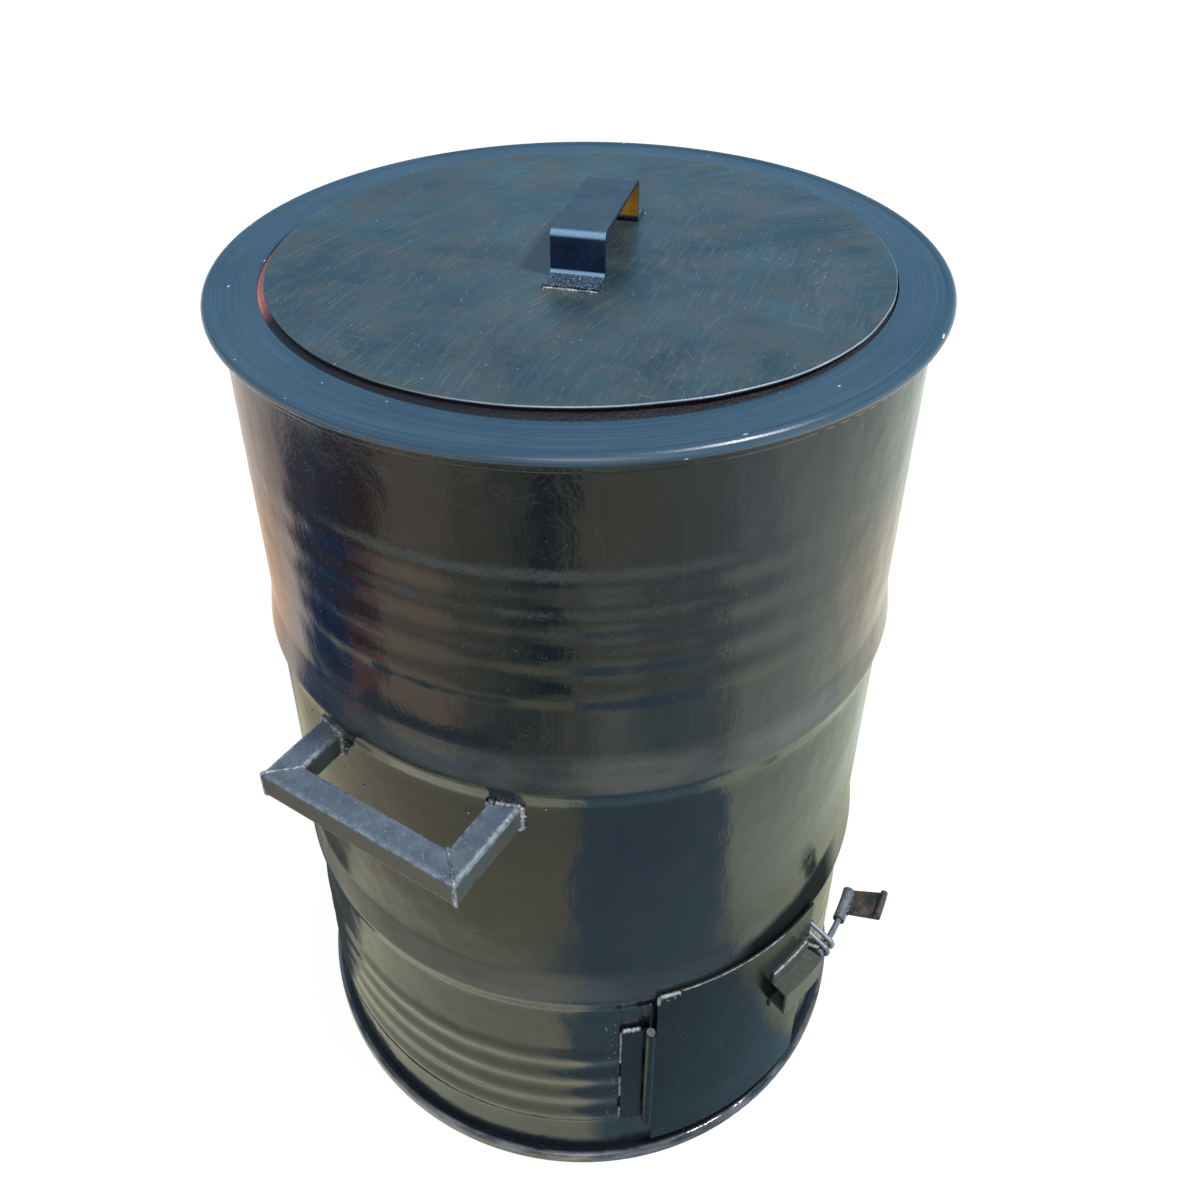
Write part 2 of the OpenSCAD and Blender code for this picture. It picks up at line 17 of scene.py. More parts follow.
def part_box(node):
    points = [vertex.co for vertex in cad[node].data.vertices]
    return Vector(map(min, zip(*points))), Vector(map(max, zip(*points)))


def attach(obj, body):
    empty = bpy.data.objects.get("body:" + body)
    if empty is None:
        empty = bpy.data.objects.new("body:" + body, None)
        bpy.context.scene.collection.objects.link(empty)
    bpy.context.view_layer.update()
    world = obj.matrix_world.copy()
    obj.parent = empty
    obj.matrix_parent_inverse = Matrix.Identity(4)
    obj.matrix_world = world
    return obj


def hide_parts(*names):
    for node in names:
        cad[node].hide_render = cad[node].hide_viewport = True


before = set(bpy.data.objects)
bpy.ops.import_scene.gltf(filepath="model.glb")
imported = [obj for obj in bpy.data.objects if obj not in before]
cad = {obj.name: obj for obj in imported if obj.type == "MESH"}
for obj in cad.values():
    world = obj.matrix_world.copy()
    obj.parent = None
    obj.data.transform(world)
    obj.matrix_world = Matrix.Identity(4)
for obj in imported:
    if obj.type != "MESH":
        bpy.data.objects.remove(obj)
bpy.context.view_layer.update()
mm = 0.001


def span(name, axis):
    """From where to where a CAD piece reaches along an axis, in millimetres."""
    return [round(corner["xyz".index(axis)] / mm, 3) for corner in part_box(name)]


print("pieces in the CAD model:", len(cad))

# %% [markdown]
# ## The camera
# The photograph looks down on the oven from close by, from a point above its lid. Lines that are
# upright in the world lean together towards the bottom of such a picture, so the camera's place
# matters as much as its angle. We turn a level camera three times: first to its heading, then
# down, and last a trace round its own axis. Shift moves the frame without turning it.

# %% Place the camera
eye = Vector((-453.1, -742.3, 1244.3)) * mm
heading, tilt, roll = math.radians(30.472), 0.5836, -0.0151

lens = bpy.data.cameras.new("oven_camera")
lens.sensor_width = 36
lens.lens = 34.067
lens.shift_x = 0.0312
lens.shift_y = -0.1174
lens.clip_end = 100
camera = bpy.data.objects.new("oven_camera", lens)
bpy.context.scene.collection.objects.link(camera)
turn = Matrix.Rotation(-heading, 4, "Z") @ Matrix.Rotation(math.pi / 2 - tilt, 4, "X")
camera.matrix_world = Matrix.Translation(eye) @ turn @ Matrix.Rotation(roll, 4, "Z")
bpy.context.scene.camera = camera
bpy.context.scene.view_settings.view_transform = "Standard"
print("camera height above the ground:", round(eye.z, 3), "m")

# %% [markdown]
# ## Building materials from nodes
# Every finish below is a small tree of nodes. Writing each node out takes several lines, so we make
# one helper that adds a node and fills its inputs: a value is set, and a socket is linked. Names
# with a capital are inputs, a, b and c are the first three inputs, and the rest are node settings.

# %% Helpers that add nodes
def put(tree, kind, out=0, **settings):
    """Adds a shader node and gives back one of its outputs."""
    node = tree.nodes.new("ShaderNode" + kind)
    for key, value in settings.items():
        if key in ("a", "b", "c"):
            socket = node.inputs["abc".index(key)]
        elif key[0].isupper():
            socket = node.inputs[key.replace("_", " ")]
        else:
            setattr(node, key, value)
            continue
        if isinstance(value, bpy.types.NodeSocket):
            tree.links.new(value, socket)
        elif socket.type == "RGBA":
            socket.default_value = (*value, 1)
        else:
            socket.default_value = value
    return node.outputs[out]


def ramp(tree, amount, *stops):
    """A colour ramp from (position, colour) stops; a single number is a grey."""
    node = tree.nodes.new("ShaderNodeValToRGB")
    tree.links.new(amount, node.inputs[0])
    edges = node.color_ramp.elements
    while len(edges) < len(stops):
        edges.new(0.5)
    for edge, (place, colour) in zip(edges, stops):
        edge.position = place
        edge.color = (*colour, 1) if isinstance(colour, tuple) else (colour, colour, colour, 1)
    return node.outputs[0]


def rise(tree, amount, low, high, top=1.0):
    """A ramp that stays at 0 up to low and has climbed to top at high."""
    return ramp(tree, amount, (low, 0.0), (high, top))


def blend(tree, amount, low, high):
    """Mixes two colours by an amount."""
    node = tree.nodes.new("ShaderNodeMix")
    node.data_type = "RGBA"
    for socket, value in ((node.inputs[0], amount), (node.inputs[6], low), (node.inputs[7], high)):
        if isinstance(value, bpy.types.NodeSocket):
            tree.links.new(value, socket)
        else:
            socket.default_value = (*value, 1)
    return node.outputs[2]


print("helpers for nodes, ramps and mixes")

# %% [markdown]
# ## Sums with sockets
# A mask, such as "low on the drum and on its left side", is a sum or a product of amounts. Blender
# does such sums in nodes, one node for each step. A named helper for each keeps a recipe about as
# short as the sentence that it stands for.

# %% Helpers that do sums
def times(tree, a, b):
    """One amount times another."""
    return put(tree, "Math", operation="MULTIPLY", a=a, b=b)


def times_plus(tree, a, b, c):
    """a times b, plus c."""
    return put(tree, "Math", operation="MULTIPLY_ADD", a=a, b=b, c=c)


def plus(tree, a, b):
    """One amount and another."""
    return put(tree, "Math", operation="ADD", a=a, b=b)


def minus(tree, a, b):
    """One amount less another."""
    return put(tree, "Math", operation="SUBTRACT", a=a, b=b)


def below(tree, amount, limit):
    """1 where an amount is below a limit, and 0 elsewhere."""
    return put(tree, "Math", operation="LESS_THAN", a=amount, b=limit)


def within(tree, amount, low, high, **settings):
    """Stretches an amount so that low becomes 0 and high becomes 1."""
    return put(tree, "MapRange", Value=amount, From_Min=low, From_Max=high, **settings)


def strongest(tree, amounts):
    """The largest of several amounts."""
    most = amounts[0]
    for amount in amounts[1:]:
        most = put(tree, "Math", operation="MAXIMUM", a=most, b=amount)
    return most


def dot(tree, a, b):
    """The dot product: for two directions it is 1 where they agree."""
    return put(tree, "VectorMath", out=1, operation="DOT_PRODUCT", a=a, b=b)


def parts(tree, vector):
    """The three parts of a vector."""
    node = tree.nodes.new("ShaderNodeSeparateXYZ")
    tree.links.new(vector, node.inputs[0])
    return node.outputs


def outward(tree):
    """The direction that the surface faces."""
    return put(tree, "NewGeometry", out=1)


print("helpers for sums")

# %% [markdown]
# ## Marks on a surface
# Brush strokes, dust, rust and soot are all uneven, each in its own way. A painted image could hold
# them, but it would blur up close and show its seams. Noise has neither fault: it is worked out at
# each point, from a size in metres and a stretch, so a brush stroke is a blob that is much too long.
# On the drum the noise follows the wall round, so that strokes run up it and never across.

# %% Helpers for marks on a surface
wrap_r = 0.29  # metres: the distance round the drum is the angle times this radius


def grain(tree, place, size, stretch=(1, 1, 1), detail=3.0, rough=0.55, shift=0.0):
    """Noise whose blobs are about size metres across, longer where stretch is above 1."""
    scaled = put(tree, "Mapping", Vector=place, Scale=tuple(1 / (size * s) for s in stretch),
                 Location=(shift, shift * 0.7, shift * 1.3))
    return put(tree, "TexNoise", Vector=scaled, Scale=1.0, Detail=detail, Roughness=rough)


def hairlines(tree, place, size, stretch, width, shift=0.0):
    """Thin broken lines: the places where a stretched noise crosses its middle value."""
    line = grain(tree, place, size, stretch, 1.0, 0.4, shift)
    away = put(tree, "Math", operation="ABSOLUTE", a=minus(tree, line, 0.5))
    thin = ramp(tree, away, (0.0, 1.0), (width, 0.0))
    gaps = grain(tree, place, size * 1.7, detail=2.0, rough=0.5, shift=shift + 5)
    return times(tree, thin, rise(tree, gaps, 0.52, 0.6))


def dashes(tree, place, turn, width, length, shift, share=(0.70, 0.76), patches=0.09):
    """Short straight scratches that lie about one way, in patches."""
    turned = put(tree, "Mapping", Vector=place, Rotation=(0, 0, turn))
    lines = grain(tree, turned, width, (1, length / width, 1), 1.0, 0.3, shift)
    held = grain(tree, place, patches, detail=2.0, rough=0.5, shift=shift + 6)
    return times(tree, rise(tree, lines, *share), rise(tree, held, 0.52, 0.66))


def round_the_drum(tree, place):
    """Coordinates that follow the drum: distance round it, distance from its axis, height."""
    x, y, z = parts(tree, place)
    angle = put(tree, "Math", operation="ARCTAN2", a=x, b=times(tree, y, -1.0))
    flat = put(tree, "CombineXYZ", a=x, b=y, c=0.0)
    radius = put(tree, "VectorMath", out=1, operation="LENGTH", a=flat)
    return put(tree, "CombineXYZ", a=times(tree, angle, wrap_r), b=radius, c=z)


print("helpers for marks: grain, hairlines and dashes")

# %% Helpers that start and finish a material
def start_finish(name):
    """A new material: its tree, its shader and the coordinates of the object."""
    finish = bpy.data.materials.new(name)
    finish.use_nodes = True
    tree = finish.node_tree
    return finish, tree, tree.nodes["Principled BSDF"], put(tree, "TexCoord", out=3)


def finish_surface(tree, shader, colour, roughness, heights):
    """Links colour and roughness, and stacks bumps given as (height, depth in metres)."""
    tree.links.new(colour, shader.inputs["Base Color"])
    tree.links.new(roughness, shader.inputs["Roughness"])
    normal = None
    for height, depth in heights:
        settings = dict(Height=height, Distance=depth, Strength=1.0)
        if normal is not None:
            settings["Normal"] = normal
        normal = put(tree, "Bump", **settings)
    tree.links.new(normal, shader.inputs["Normal"])


def share_out(finish, *nodes):
    """Gives a finish to CAD pieces by name."""
    for name in nodes:
        cad[name].data.materials.clear()
        cad[name].data.materials.append(finish)


def brighter(colour, by):
    """A colour made brighter, or darker where by is below 1."""
    return tuple(part * by for part in colour)


print("helpers for whole finishes")

# %% [markdown]
# ## Gloss enamel on the drum
# The drum is brushed with black gloss enamel straight over the old steel. Seen close, such paint has
# orange peel, faint vertical brush marks and runs, dust caught while it was wet, and fine scratches.
# Black gloss shows mostly what it mirrors, so most of the work goes into roughness and bump. Three more
# marks each get a mask from the place round the drum and the height: a painted reflection of the sky on
# the hoops, a painted dark reflection over the door, and scuffs that use left on the foot.

# %% Painted sky sheen, a painted dark reflection and scuffs on the drum
def sky_sheen_on_hoops(tree, wrap, colour):
    """The upper slope of both hoops is painted paler in patches, a painted reflection of the sky, with
    less of it on the low hoop near the door.
    """
    way, _, height = parts(tree, wrap)
    ledges = ramp(tree, height, (0.279, 0.0), (0.284, 1.0), (0.308, 0.8), (0.320, 0.0),
                  (0.555, 0.0), (0.560, 1.0), (0.584, 0.8), (0.597, 0.0))
    patches = grain(tree, wrap, 0.05, (2.5, 1, 1), 4.0, 0.6, 15.0)
    sheen_patches = ramp(tree, patches, (0.35, 0.25), (0.65, 0.9))
    less_near_door = within(tree, way, -0.21, -0.11, To_Min=0.0, To_Max=0.75)
    low_hoop = below(tree, height, 0.4)
    sheen_patches = blend(tree, times(tree, low_hoop, less_near_door), sheen_patches, (0.0, 0.0, 0.0))
    return blend(tree, times(tree, ledges, sheen_patches), colour, (0.062, 0.072, 0.072))


def dark_wedge_over_door(tree, wrap, strength):
    """A dark wedge on the low hoop over the door: a painted dark reflection."""
    way, _, height = parts(tree, wrap)
    across = within(tree, way, -0.06, 0.17)
    sides = ramp(tree, across, (0.08, 0.0), (0.30, 1.0), (0.78, 1.0), (0.93, 0.0))
    ragged = grain(tree, wrap, 0.03, detail=4.0, rough=0.6, shift=19.0)
    level = times_plus(tree, ragged, 0.016, times_plus(tree, way, -0.2, height))
    upwards = ramp(tree, within(tree, level, 0.25, 0.35),
                   (0.02, 0.0), (0.10, 1.0), (0.52, 1.0), (0.64, 0.0))
    return times(tree, times(tree, upwards, sides), strength)


def scuff_foot(tree, wrap, colour):
    """The ground has scuffed the outside of the foot's rim."""
    _, radius, height = parts(tree, wrap)
    rim = times(tree, within(tree, radius, 0.2915, 0.294), below(tree, height, 0.02))
    patches = grain(tree, wrap, 0.012, (3, 1, 1), 4.0, 0.6, 23.0)
    scuffs = ramp(tree, patches, (0.36, 0.1), (0.6, 0.8))
    return blend(tree, times(tree, rim, scuffs), colour, (0.15, 0.15, 0.165))


print("helpers for dust, smoke and scuffs")

# %% The drum's enamel
def make_drum_enamel(name, dark, light, gloss=(0.08, 0.20), shine=1.6, dark_wedge_strength=0.0):
    """gloss is the smoothest and the roughest paint, and shine its index of refraction."""
    finish, tree, shader, place = start_finish(name)
    wrap = round_the_drum(tree, place)
    clouds = grain(tree, wrap, 0.16, (1, 1, 2.2), 4.0)
    strokes = grain(tree, wrap, 0.004, (1, 1, 30), 3.0, 0.6, 2.0)
    colour = blend(tree, rise(tree, clouds, 0.38, 0.64), dark, light)
    colour = blend(tree, rise(tree, strokes, 0.45, 0.8, 0.35), colour, brighter(light, 1.9))
    dust = rise(tree, grain(tree, wrap, 0.0019, detail=1.0, rough=0.4, shift=7.0), 0.735, 0.79)
    rub = hairlines(tree, wrap, 0.05, (0.5, 1, 2.4), 0.003, 3.0)
    colour = blend(tree, times(tree, dust, 0.3), colour, (0.10, 0.11, 0.11))
    colour = blend(tree, times(tree, rub, 0.12), colour, (0.10, 0.10, 0.095))
    # A painted reflection of the sky on the hoops' upper slopes.
    colour = sky_sheen_on_hoops(tree, wrap, colour)
    # A painted dark reflection over the door, made dull as well as dark.
    dark_wedge = dark_wedge_over_door(tree, wrap, dark_wedge_strength)
    colour = blend(tree, dark_wedge, colour, (0.003, 0.004, 0.005))
    # The painted dark wedge mirrors next to nothing, so it takes most of the usual gloss, which is 0.5
    level = times_plus(tree, dark_wedge, -0.44, 0.5)
    tree.links.new(level, shader.inputs["Specular IOR Level"])
    shader.inputs["IOR"].default_value = shine
    colour = scuff_foot(tree, wrap, colour)
    smear = grain(tree, wrap, 0.07, (1, 1, 1.8), 5.0, 0.6, 9.0)
    rough = ramp(tree, smear, (0.3, gloss[0]), (0.7, gloss[1]))
    rough = blend(tree, dust, rough, (0.4, 0.4, 0.4))
    rough = blend(tree, dark_wedge, rough, (0.62, 0.62, 0.62))
    peel = grain(tree, wrap, 0.0035, (1, 1, 1.3), 2.0, 0.5)
    waves = grain(tree, wrap, 0.05, (1, 1, 1.4), 2.0, 0.5, 4.0)
    finish_surface(tree, shader, colour, rough,
                   [(waves, 0.0019), (strokes, 0.00006), (peel, 0.00016), (dust, 0.0002)])
    return finish


drum_enamel = make_drum_enamel("drum_enamel", (0.003, 0.005, 0.0075), (0.0065, 0.0085, 0.009), dark_wedge_strength=1.0)
share_out(drum_enamel, "drum_shell", "drum_floor", "foot_rim", "top_rim")
door_enamel = make_drum_enamel("door_enamel", (0.0022, 0.0042, 0.0052), (0.0042, 0.0062, 0.0066),
                               (0.16, 0.28), 1.36)
share_out(door_enamel, "door_plate", "door_hinge_leaf", "wall_hinge_leaf")
# The keeper's paler colours are painted light: they stand in for the bright things that its face mirrors.
keeper_painted_light = make_drum_enamel("keeper_painted_light", (0.044, 0.050, 0.043), (0.078, 0.082, 0.070),
                                 (0.28, 0.45), 1.4)
share_out(keeper_painted_light, "door_keeper")
print("enamel on the drum and the door")

# %% [markdown]
# ## The ring
# The flat ring was painted with a brush that went round and round, so its marks are arcs about the
# drum's axis. The coordinates that follow the drum give such arcs at once, as a noise that is
# stretched along the distance round it. A few small specks are paler.

# %% The ring's enamel
def make_ring_enamel():
    finish, tree, shader, place = start_finish("ring_enamel")
    wrap = round_the_drum(tree, place)
    strokes = grain(tree, wrap, 0.0011, (120, 1, 2), 4.0, 0.65)
    broad = grain(tree, wrap, 0.006, (40, 1, 3), 3.0, 0.6, 3.0)
    clouds = grain(tree, wrap, 0.09, (2, 1, 1), 3.0, 0.5, 6.0)
    colour = blend(tree, rise(tree, clouds, 0.35, 0.65), (0.013, 0.040, 0.068), (0.025, 0.056, 0.090))
    colour = blend(tree, rise(tree, strokes, 0.45, 0.75, 0.5), colour, (0.060, 0.105, 0.150))
    pale_specks = rise(tree, grain(tree, wrap, 0.004, (2.5, 1, 1), 1.0, 0.4, 11.0), 0.785, 0.80)
    colour = blend(tree, pale_specks, colour, (0.50, 0.56, 0.60))
    shader.inputs["IOR"].default_value = 1.55
    finish_surface(tree, shader, colour, ramp(tree, broad, (0.3, 0.20), (0.7, 0.36)),
                   [(clouds, 0.0012), (broad, 0.0003), (strokes, 0.00012), (pale_specks, 0.0002)])
    return finish


share_out(make_ring_enamel(), "top_ring", "ring_edge")
print("enamel on the ring")

# %% [markdown]
# ## The lid
# The lid was brushed in short strokes and then used: grit and skewers left pale and ochre scratches,
# and soot and grease left brown clouds. Its rounded edge gets a pale painted highlight. We lay the
# marks over each other much as they came to the real lid, with the paint first and the highlight last.

# %% Strokes, scratches and a painted highlight on the edge of the lid
def lid_strokes(tree, place):
    """Brush strokes: arcs about a point beside the lid in some patches, wipes across in others."""
    swirl = put(tree, "Mapping", Vector=place, Location=(-0.10, 0.42, 0.0))
    arcs = grain(tree, round_the_drum(tree, swirl), 0.0022, (22, 1, 1), 3.0, 0.65)
    across = put(tree, "Mapping", Vector=place, Rotation=(0, 0, 0.9))
    wipes = grain(tree, across, 0.0018, (1, 26, 1), 3.0, 0.6, 5.0)
    where = grain(tree, place, 0.16, detail=1.0, rough=0.4, shift=2.0)
    return blend(tree, rise(tree, where, 0.44, 0.56), arcs, wipes)


def lid_scratches(tree, place):
    """White and ochre scratches, which lie about four ways."""
    ways = ((0.25, 3.0), (0.75, 17.0), (1.15, 29.0), (-0.5, 41.0))
    white = [dashes(tree, place, turn, 0.0009, 0.022, shift) for turn, shift in ways]
    ochre = [dashes(tree, place, turn + 0.12, 0.0011, 0.015, shift + 50, (0.73, 0.79))
             for turn, shift in ways]
    return strongest(tree, white), strongest(tree, ochre)


def edge_highlight(tree, clouds):
    """A painted highlight in patches on the rounded edge of the disc, most of all at the front right."""
    normal = outward(tree)
    rounded = ramp(tree, parts(tree, normal)[2], (0.1, 0.0), (0.3, 1.0), (0.88, 1.0), (0.97, 0.0))
    front = ramp(tree, dot(tree, normal, (0.17, -0.98, 0.0)), (0.2, 0.1), (0.5, 0.8))
    patches = ramp(tree, clouds, (0.3, 0.25), (0.6, 1.0))
    return times(tree, times(tree, rounded, front), patches)


print("helpers for the lid's marks")

# %% The lid's enamel
def make_lid_enamel():
    finish, tree, shader, place = start_finish("lid_enamel")
    clouds = grain(tree, place, 0.11, detail=4.0, rough=0.6)
    soot = grain(tree, place, 0.05, detail=5.0, rough=0.65, shift=8.0)
    strokes = lid_strokes(tree, place)
    white, ochre = lid_scratches(tree, place)
    colour = blend(tree, rise(tree, clouds, 0.36, 0.66), (0.010, 0.026, 0.039), (0.033, 0.060, 0.074))
    colour = blend(tree, rise(tree, soot, 0.45, 0.66, 0.75), colour, (0.052, 0.056, 0.050))
    colour = blend(tree, rise(tree, strokes, 0.52, 0.80, 0.5), colour, (0.10, 0.14, 0.15))
    colour = blend(tree, times(tree, ochre, 0.4), colour, (0.24, 0.19, 0.12))
    colour = blend(tree, times(tree, white, 0.34), colour, (0.26, 0.31, 0.32))
    flecks = grain(tree, place, 0.0032, detail=2.0, rough=0.5, shift=21.0)
    colour = blend(tree, rise(tree, flecks, 0.74, 0.77, 0.8), colour, (0.34, 0.38, 0.36))
    # A pale painted highlight on the rounded edge.
    colour = blend(tree, edge_highlight(tree, clouds), colour, (0.34, 0.42, 0.47))
    shader.inputs["IOR"].default_value = 1.55
    finish_surface(tree, shader, colour, ramp(tree, soot, (0.35, 0.24), (0.7, 0.46)),
                   [(clouds, 0.0016), (strokes, 0.00018), (white, 0.0001), (ochre, 0.0001)])
    return finish


lid_enamel = make_lid_enamel()
share_out(lid_enamel, "lid_plate")
print("enamel on the lid")

# %% [markdown]
# ## Worn handles and bare steel
# The handles are square tube. Hands and ropes have rubbed them, so their enamel is paler and duller
# than the drum's, with silvery patches. The bolt is hardly painted at all. All of this is metal with
# more or less paint left, so one recipe serves, from a paint and a worn colour. Pale edges, partly
# rubbed paint and partly a painted highlight, need no drawn mask, because a material can find the
# edges by itself. On the handles, the upright faces also get a painted shade.

# %% Worn enamel and steel
def paint_shade_upright(tree, colour, wear, sides):
    """Upright faces take a darker colour, a painted shade, so the faces that look up stay paler."""
    upright = ramp(tree, parts(tree, outward(tree))[2], (0.3, 1.0), (0.7, 0.0))
    return blend(tree, upright, colour, blend(tree, wear, sides, brighter(sides, 1.5)))


def pale_edges_rubbed_and_lit(tree, place, colour, edges):
    """A rounded normal differs from the real one only beside an edge, so the difference finds edges.
    There the colour turns pale: partly rubbed paint, partly a painted highlight.
    """
    rounded = put(tree, "Bevel", samples=4, Radius=0.003)
    near = rise(tree, minus(tree, 1.0, dot(tree, rounded, outward(tree))), 0.004, 0.035)
    ragged = grain(tree, place, 0.006, detail=4.0, rough=0.6, shift=12.0)
    return blend(tree, times(tree, near, rise(tree, ragged, 0.40, 0.58, 0.9)), colour, edges)


def make_worn(name, paint, worn, metal=0.0, rough=(0.32, 0.55), amount=(0.45, 0.7), size=0.03,
              edges=None, sides=None):
    """Paint that has worn to a second colour, in patches of a size in metres."""
    finish, tree, shader, place = start_finish(name)
    rubbed = grain(tree, place, size, detail=6.0, rough=0.7)
    strokes = grain(tree, place, 0.0016, (10, 10, 1), 3.0, 0.6, 4.0)
    specks = rise(tree, grain(tree, place, 0.0016, detail=1.0, rough=0.4, shift=9.0), 0.66, 0.74)
    wear = rise(tree, rubbed, *amount)
    colour = blend(tree, wear, paint, worn)
    colour = blend(tree, rise(tree, strokes, 0.4, 0.8, 0.5), colour, brighter(paint, 0.45))
    colour = blend(tree, times(tree, specks, 0.6), colour, brighter(worn, 2.2))
    # Darker upright faces: a painted shade.
    if sides:
        colour = paint_shade_upright(tree, colour, wear, sides)
    # Pale edges: partly rubbed paint, partly a painted highlight.
    if edges:
        colour = pale_edges_rubbed_and_lit(tree, place, colour, edges)
    shader.inputs["Metallic"].default_value = metal
    shader.inputs["IOR"].default_value = 1.55
    finish_surface(tree, shader, colour, ramp(tree, rubbed, (0.3, rough[0]), (0.75, rough[1])),
                   [(rubbed, 0.0006), (strokes, 0.00008), (specks, 0.0002)])
    return finish


# On the handles, sides is a painted shade for the upright faces, and edges is partly rubbed paint and
# partly a painted highlight.
handle_enamel = make_worn("handle_enamel", (0.076, 0.104, 0.138), (0.125, 0.160, 0.190),
                          edges=(0.40, 0.47, 0.51), sides=(0.029, 0.036, 0.036))
share_out(handle_enamel, *[name for name in cad if "grip" in name or "_leg_" in name])
bolt_steel = make_worn("bolt_steel", (0.14, 0.16, 0.18), (0.33, 0.36, 0.40), 0.35, (0.28, 0.5), size=0.02)
share_out(bolt_steel, "bolt_rod", "bolt_sleeve", "bolt_guide_near", "bolt_guide_far", "hinge_pin")
thumb_enamel = make_worn("thumb_enamel", (0.030, 0.036, 0.030), (0.16, 0.12, 0.10), size=0.025)
share_out(thumb_enamel, "bolt_thumb_plate")
sheet_steel = make_worn("sheet_steel", (0.10, 0.085, 0.075), (0.24, 0.22, 0.21), 0.4, (0.4, 0.7))
share_out(sheet_steel, "port_frame")
cast_iron = make_worn("cast_iron", (0.035, 0.033, 0.032), (0.11, 0.075, 0.055), 0.2, (0.6, 0.85))
share_out(cast_iron, "fire_grate")
weld_metal = make_worn("weld_metal", (0.10, 0.115, 0.125), (0.40, 0.42, 0.44), 0.45, (0.22, 0.45),
                       (0.4, 0.62), 0.008)
print("worn enamel, steel, iron and weld metal")

# %% [markdown]
# ## Clay, mortar and wool
# The pot is red clay that was built up by hand and fired by the first charcoal in it. Its inside is
# pale where bread is stuck to it and sooty below. Mortar fills the gap to the drum, and loose
# wool keeps the heat in. All of them are dull and grainy, so again one recipe takes two colours.

# %% Fired clay and its packing
def blacken(tree, place, clouds, colour):
    """Charcoal blackens the pot from its grate upwards, in uneven tongues."""
    tongues = times_plus(tree, clouds, 0.35, parts(tree, place)[2])
    return blend(tree, ramp(tree, tongues, (0.42, 0.85), (0.74, 0.0)), colour, (0.030, 0.026, 0.024))


def lip_shade_and_light(tree, place, clouds, colour, roughness):
    """The slope beside the ring is nearly black, partly its paint and partly painted shade under the
    lid's edge, with a bright pink patch at one side: red made brighter as painted light.
    """
    pink_turn = math.radians(115)  # the bright pink patch of painted light is this far round from the front, to the left
    way, radius, _ = parts(tree, round_the_drum(tree, place))
    painted = within(tree, times_plus(tree, clouds, 0.012, radius), 0.2475, 0.2485)
    side = put(tree, "Math", operation="COSINE", a=times_plus(tree, way, 1 / wrap_r, pink_turn))
    pink_patch = rise(tree, times_plus(tree, clouds, 0.02, side), 0.955, 0.995)
    # Near-black: partly paint, partly painted shade under the lid. Pink: red brightened as painted light.
    paint = blend(tree, pink_patch, (0.006, 0.003, 0.006), (0.60, 0.20, 0.19))
    return blend(tree, painted, colour, paint), blend(tree, painted, roughness, (0.55, 0.55, 0.55))


def make_clay(name, pale, dark, size, depth, lip=False, sooty=False):
    """Clouds of two colours, of a size and a depth in metres, with grit and the marks of coils."""
    finish, tree, shader, place = start_finish(name)
    clouds = grain(tree, place, size, detail=6.0, rough=0.65)
    coils = grain(tree, place, 0.03, (8, 8, 0.6), 3.0, 0.5, 4.0)
    grit = grain(tree, place, 0.0025, detail=3.0, rough=0.6, shift=8.0)
    colour = blend(tree, rise(tree, clouds, 0.35, 0.7), pale, dark)
    colour = blend(tree, rise(tree, grit, 0.58, 0.72, 0.5), colour, brighter(pale, 1.5))
    roughness = ramp(tree, grit, (0.3, 0.75), (0.7, 0.95))
    if sooty:
        colour = blacken(tree, place, clouds, colour)
    # The slope beside the ring gets painted shade and a pink patch of painted light.
    if lip:
        colour, roughness = lip_shade_and_light(tree, place, clouds, colour, roughness)
    finish_surface(tree, shader, colour, roughness,
                   [(coils, depth * 2), (clouds, depth), (grit, depth * 0.4)])
    return finish


fired_clay = make_clay("fired_clay", (0.50, 0.24, 0.13), (0.20, 0.10, 0.065), 0.12, 0.002, sooty=True)
share_out(fired_clay, "clay_pot")
clay_mortar = make_clay("clay_mortar", (0.30, 0.17, 0.12), (0.13, 0.08, 0.06), 0.05, 0.0015, lip=True)
share_out(clay_mortar, "mouth_collar")
hearth_tile = make_clay("hearth_tile", (0.45, 0.38, 0.30), (0.22, 0.18, 0.15), 0.08, 0.0012)
share_out(hearth_tile, "hearth_slab")
mineral_wool = make_clay("mineral_wool", (0.70, 0.64, 0.50), (0.48, 0.42, 0.30), 0.03, 0.004)
share_out(mineral_wool, "insulation_fill")
print("clay, mortar, hearth and wool")

# %% [markdown]
# ## The drum's skin
# The drum's wall is thin sheet with two rolled hoops and eight beads. The CAD wall is exactly round,
# but a real drum has been rolled about and welded on, and gloss paint shows every trace. A bump map
# can't move an outline, so we spin the same outline again as a mesh of our own and soften its
# corners. Where the wall is straight, few rows of points will do.

# %% The outline of the wall
hoops = (280, 556)
hoop_out, hoop_under, hoop_flat, hoop_over = 5.0, 20, 2, 36  # its height, and its reach down and up
bead_out, bead_half, bead_step = 2.1, 17, 34
beads = [middle + (i - 1.5) * bead_step for middle in (131, 707) for i in range(4)]
low_end = 400  # beads below this height are the low ones
drum_low, drum_high = span("drum_shell", "z")
drum_r = span("drum_shell", "x")[1] - hoop_out
port_half = span("port_frame", "x")[1]
port_edges = span("port_frame", "z")


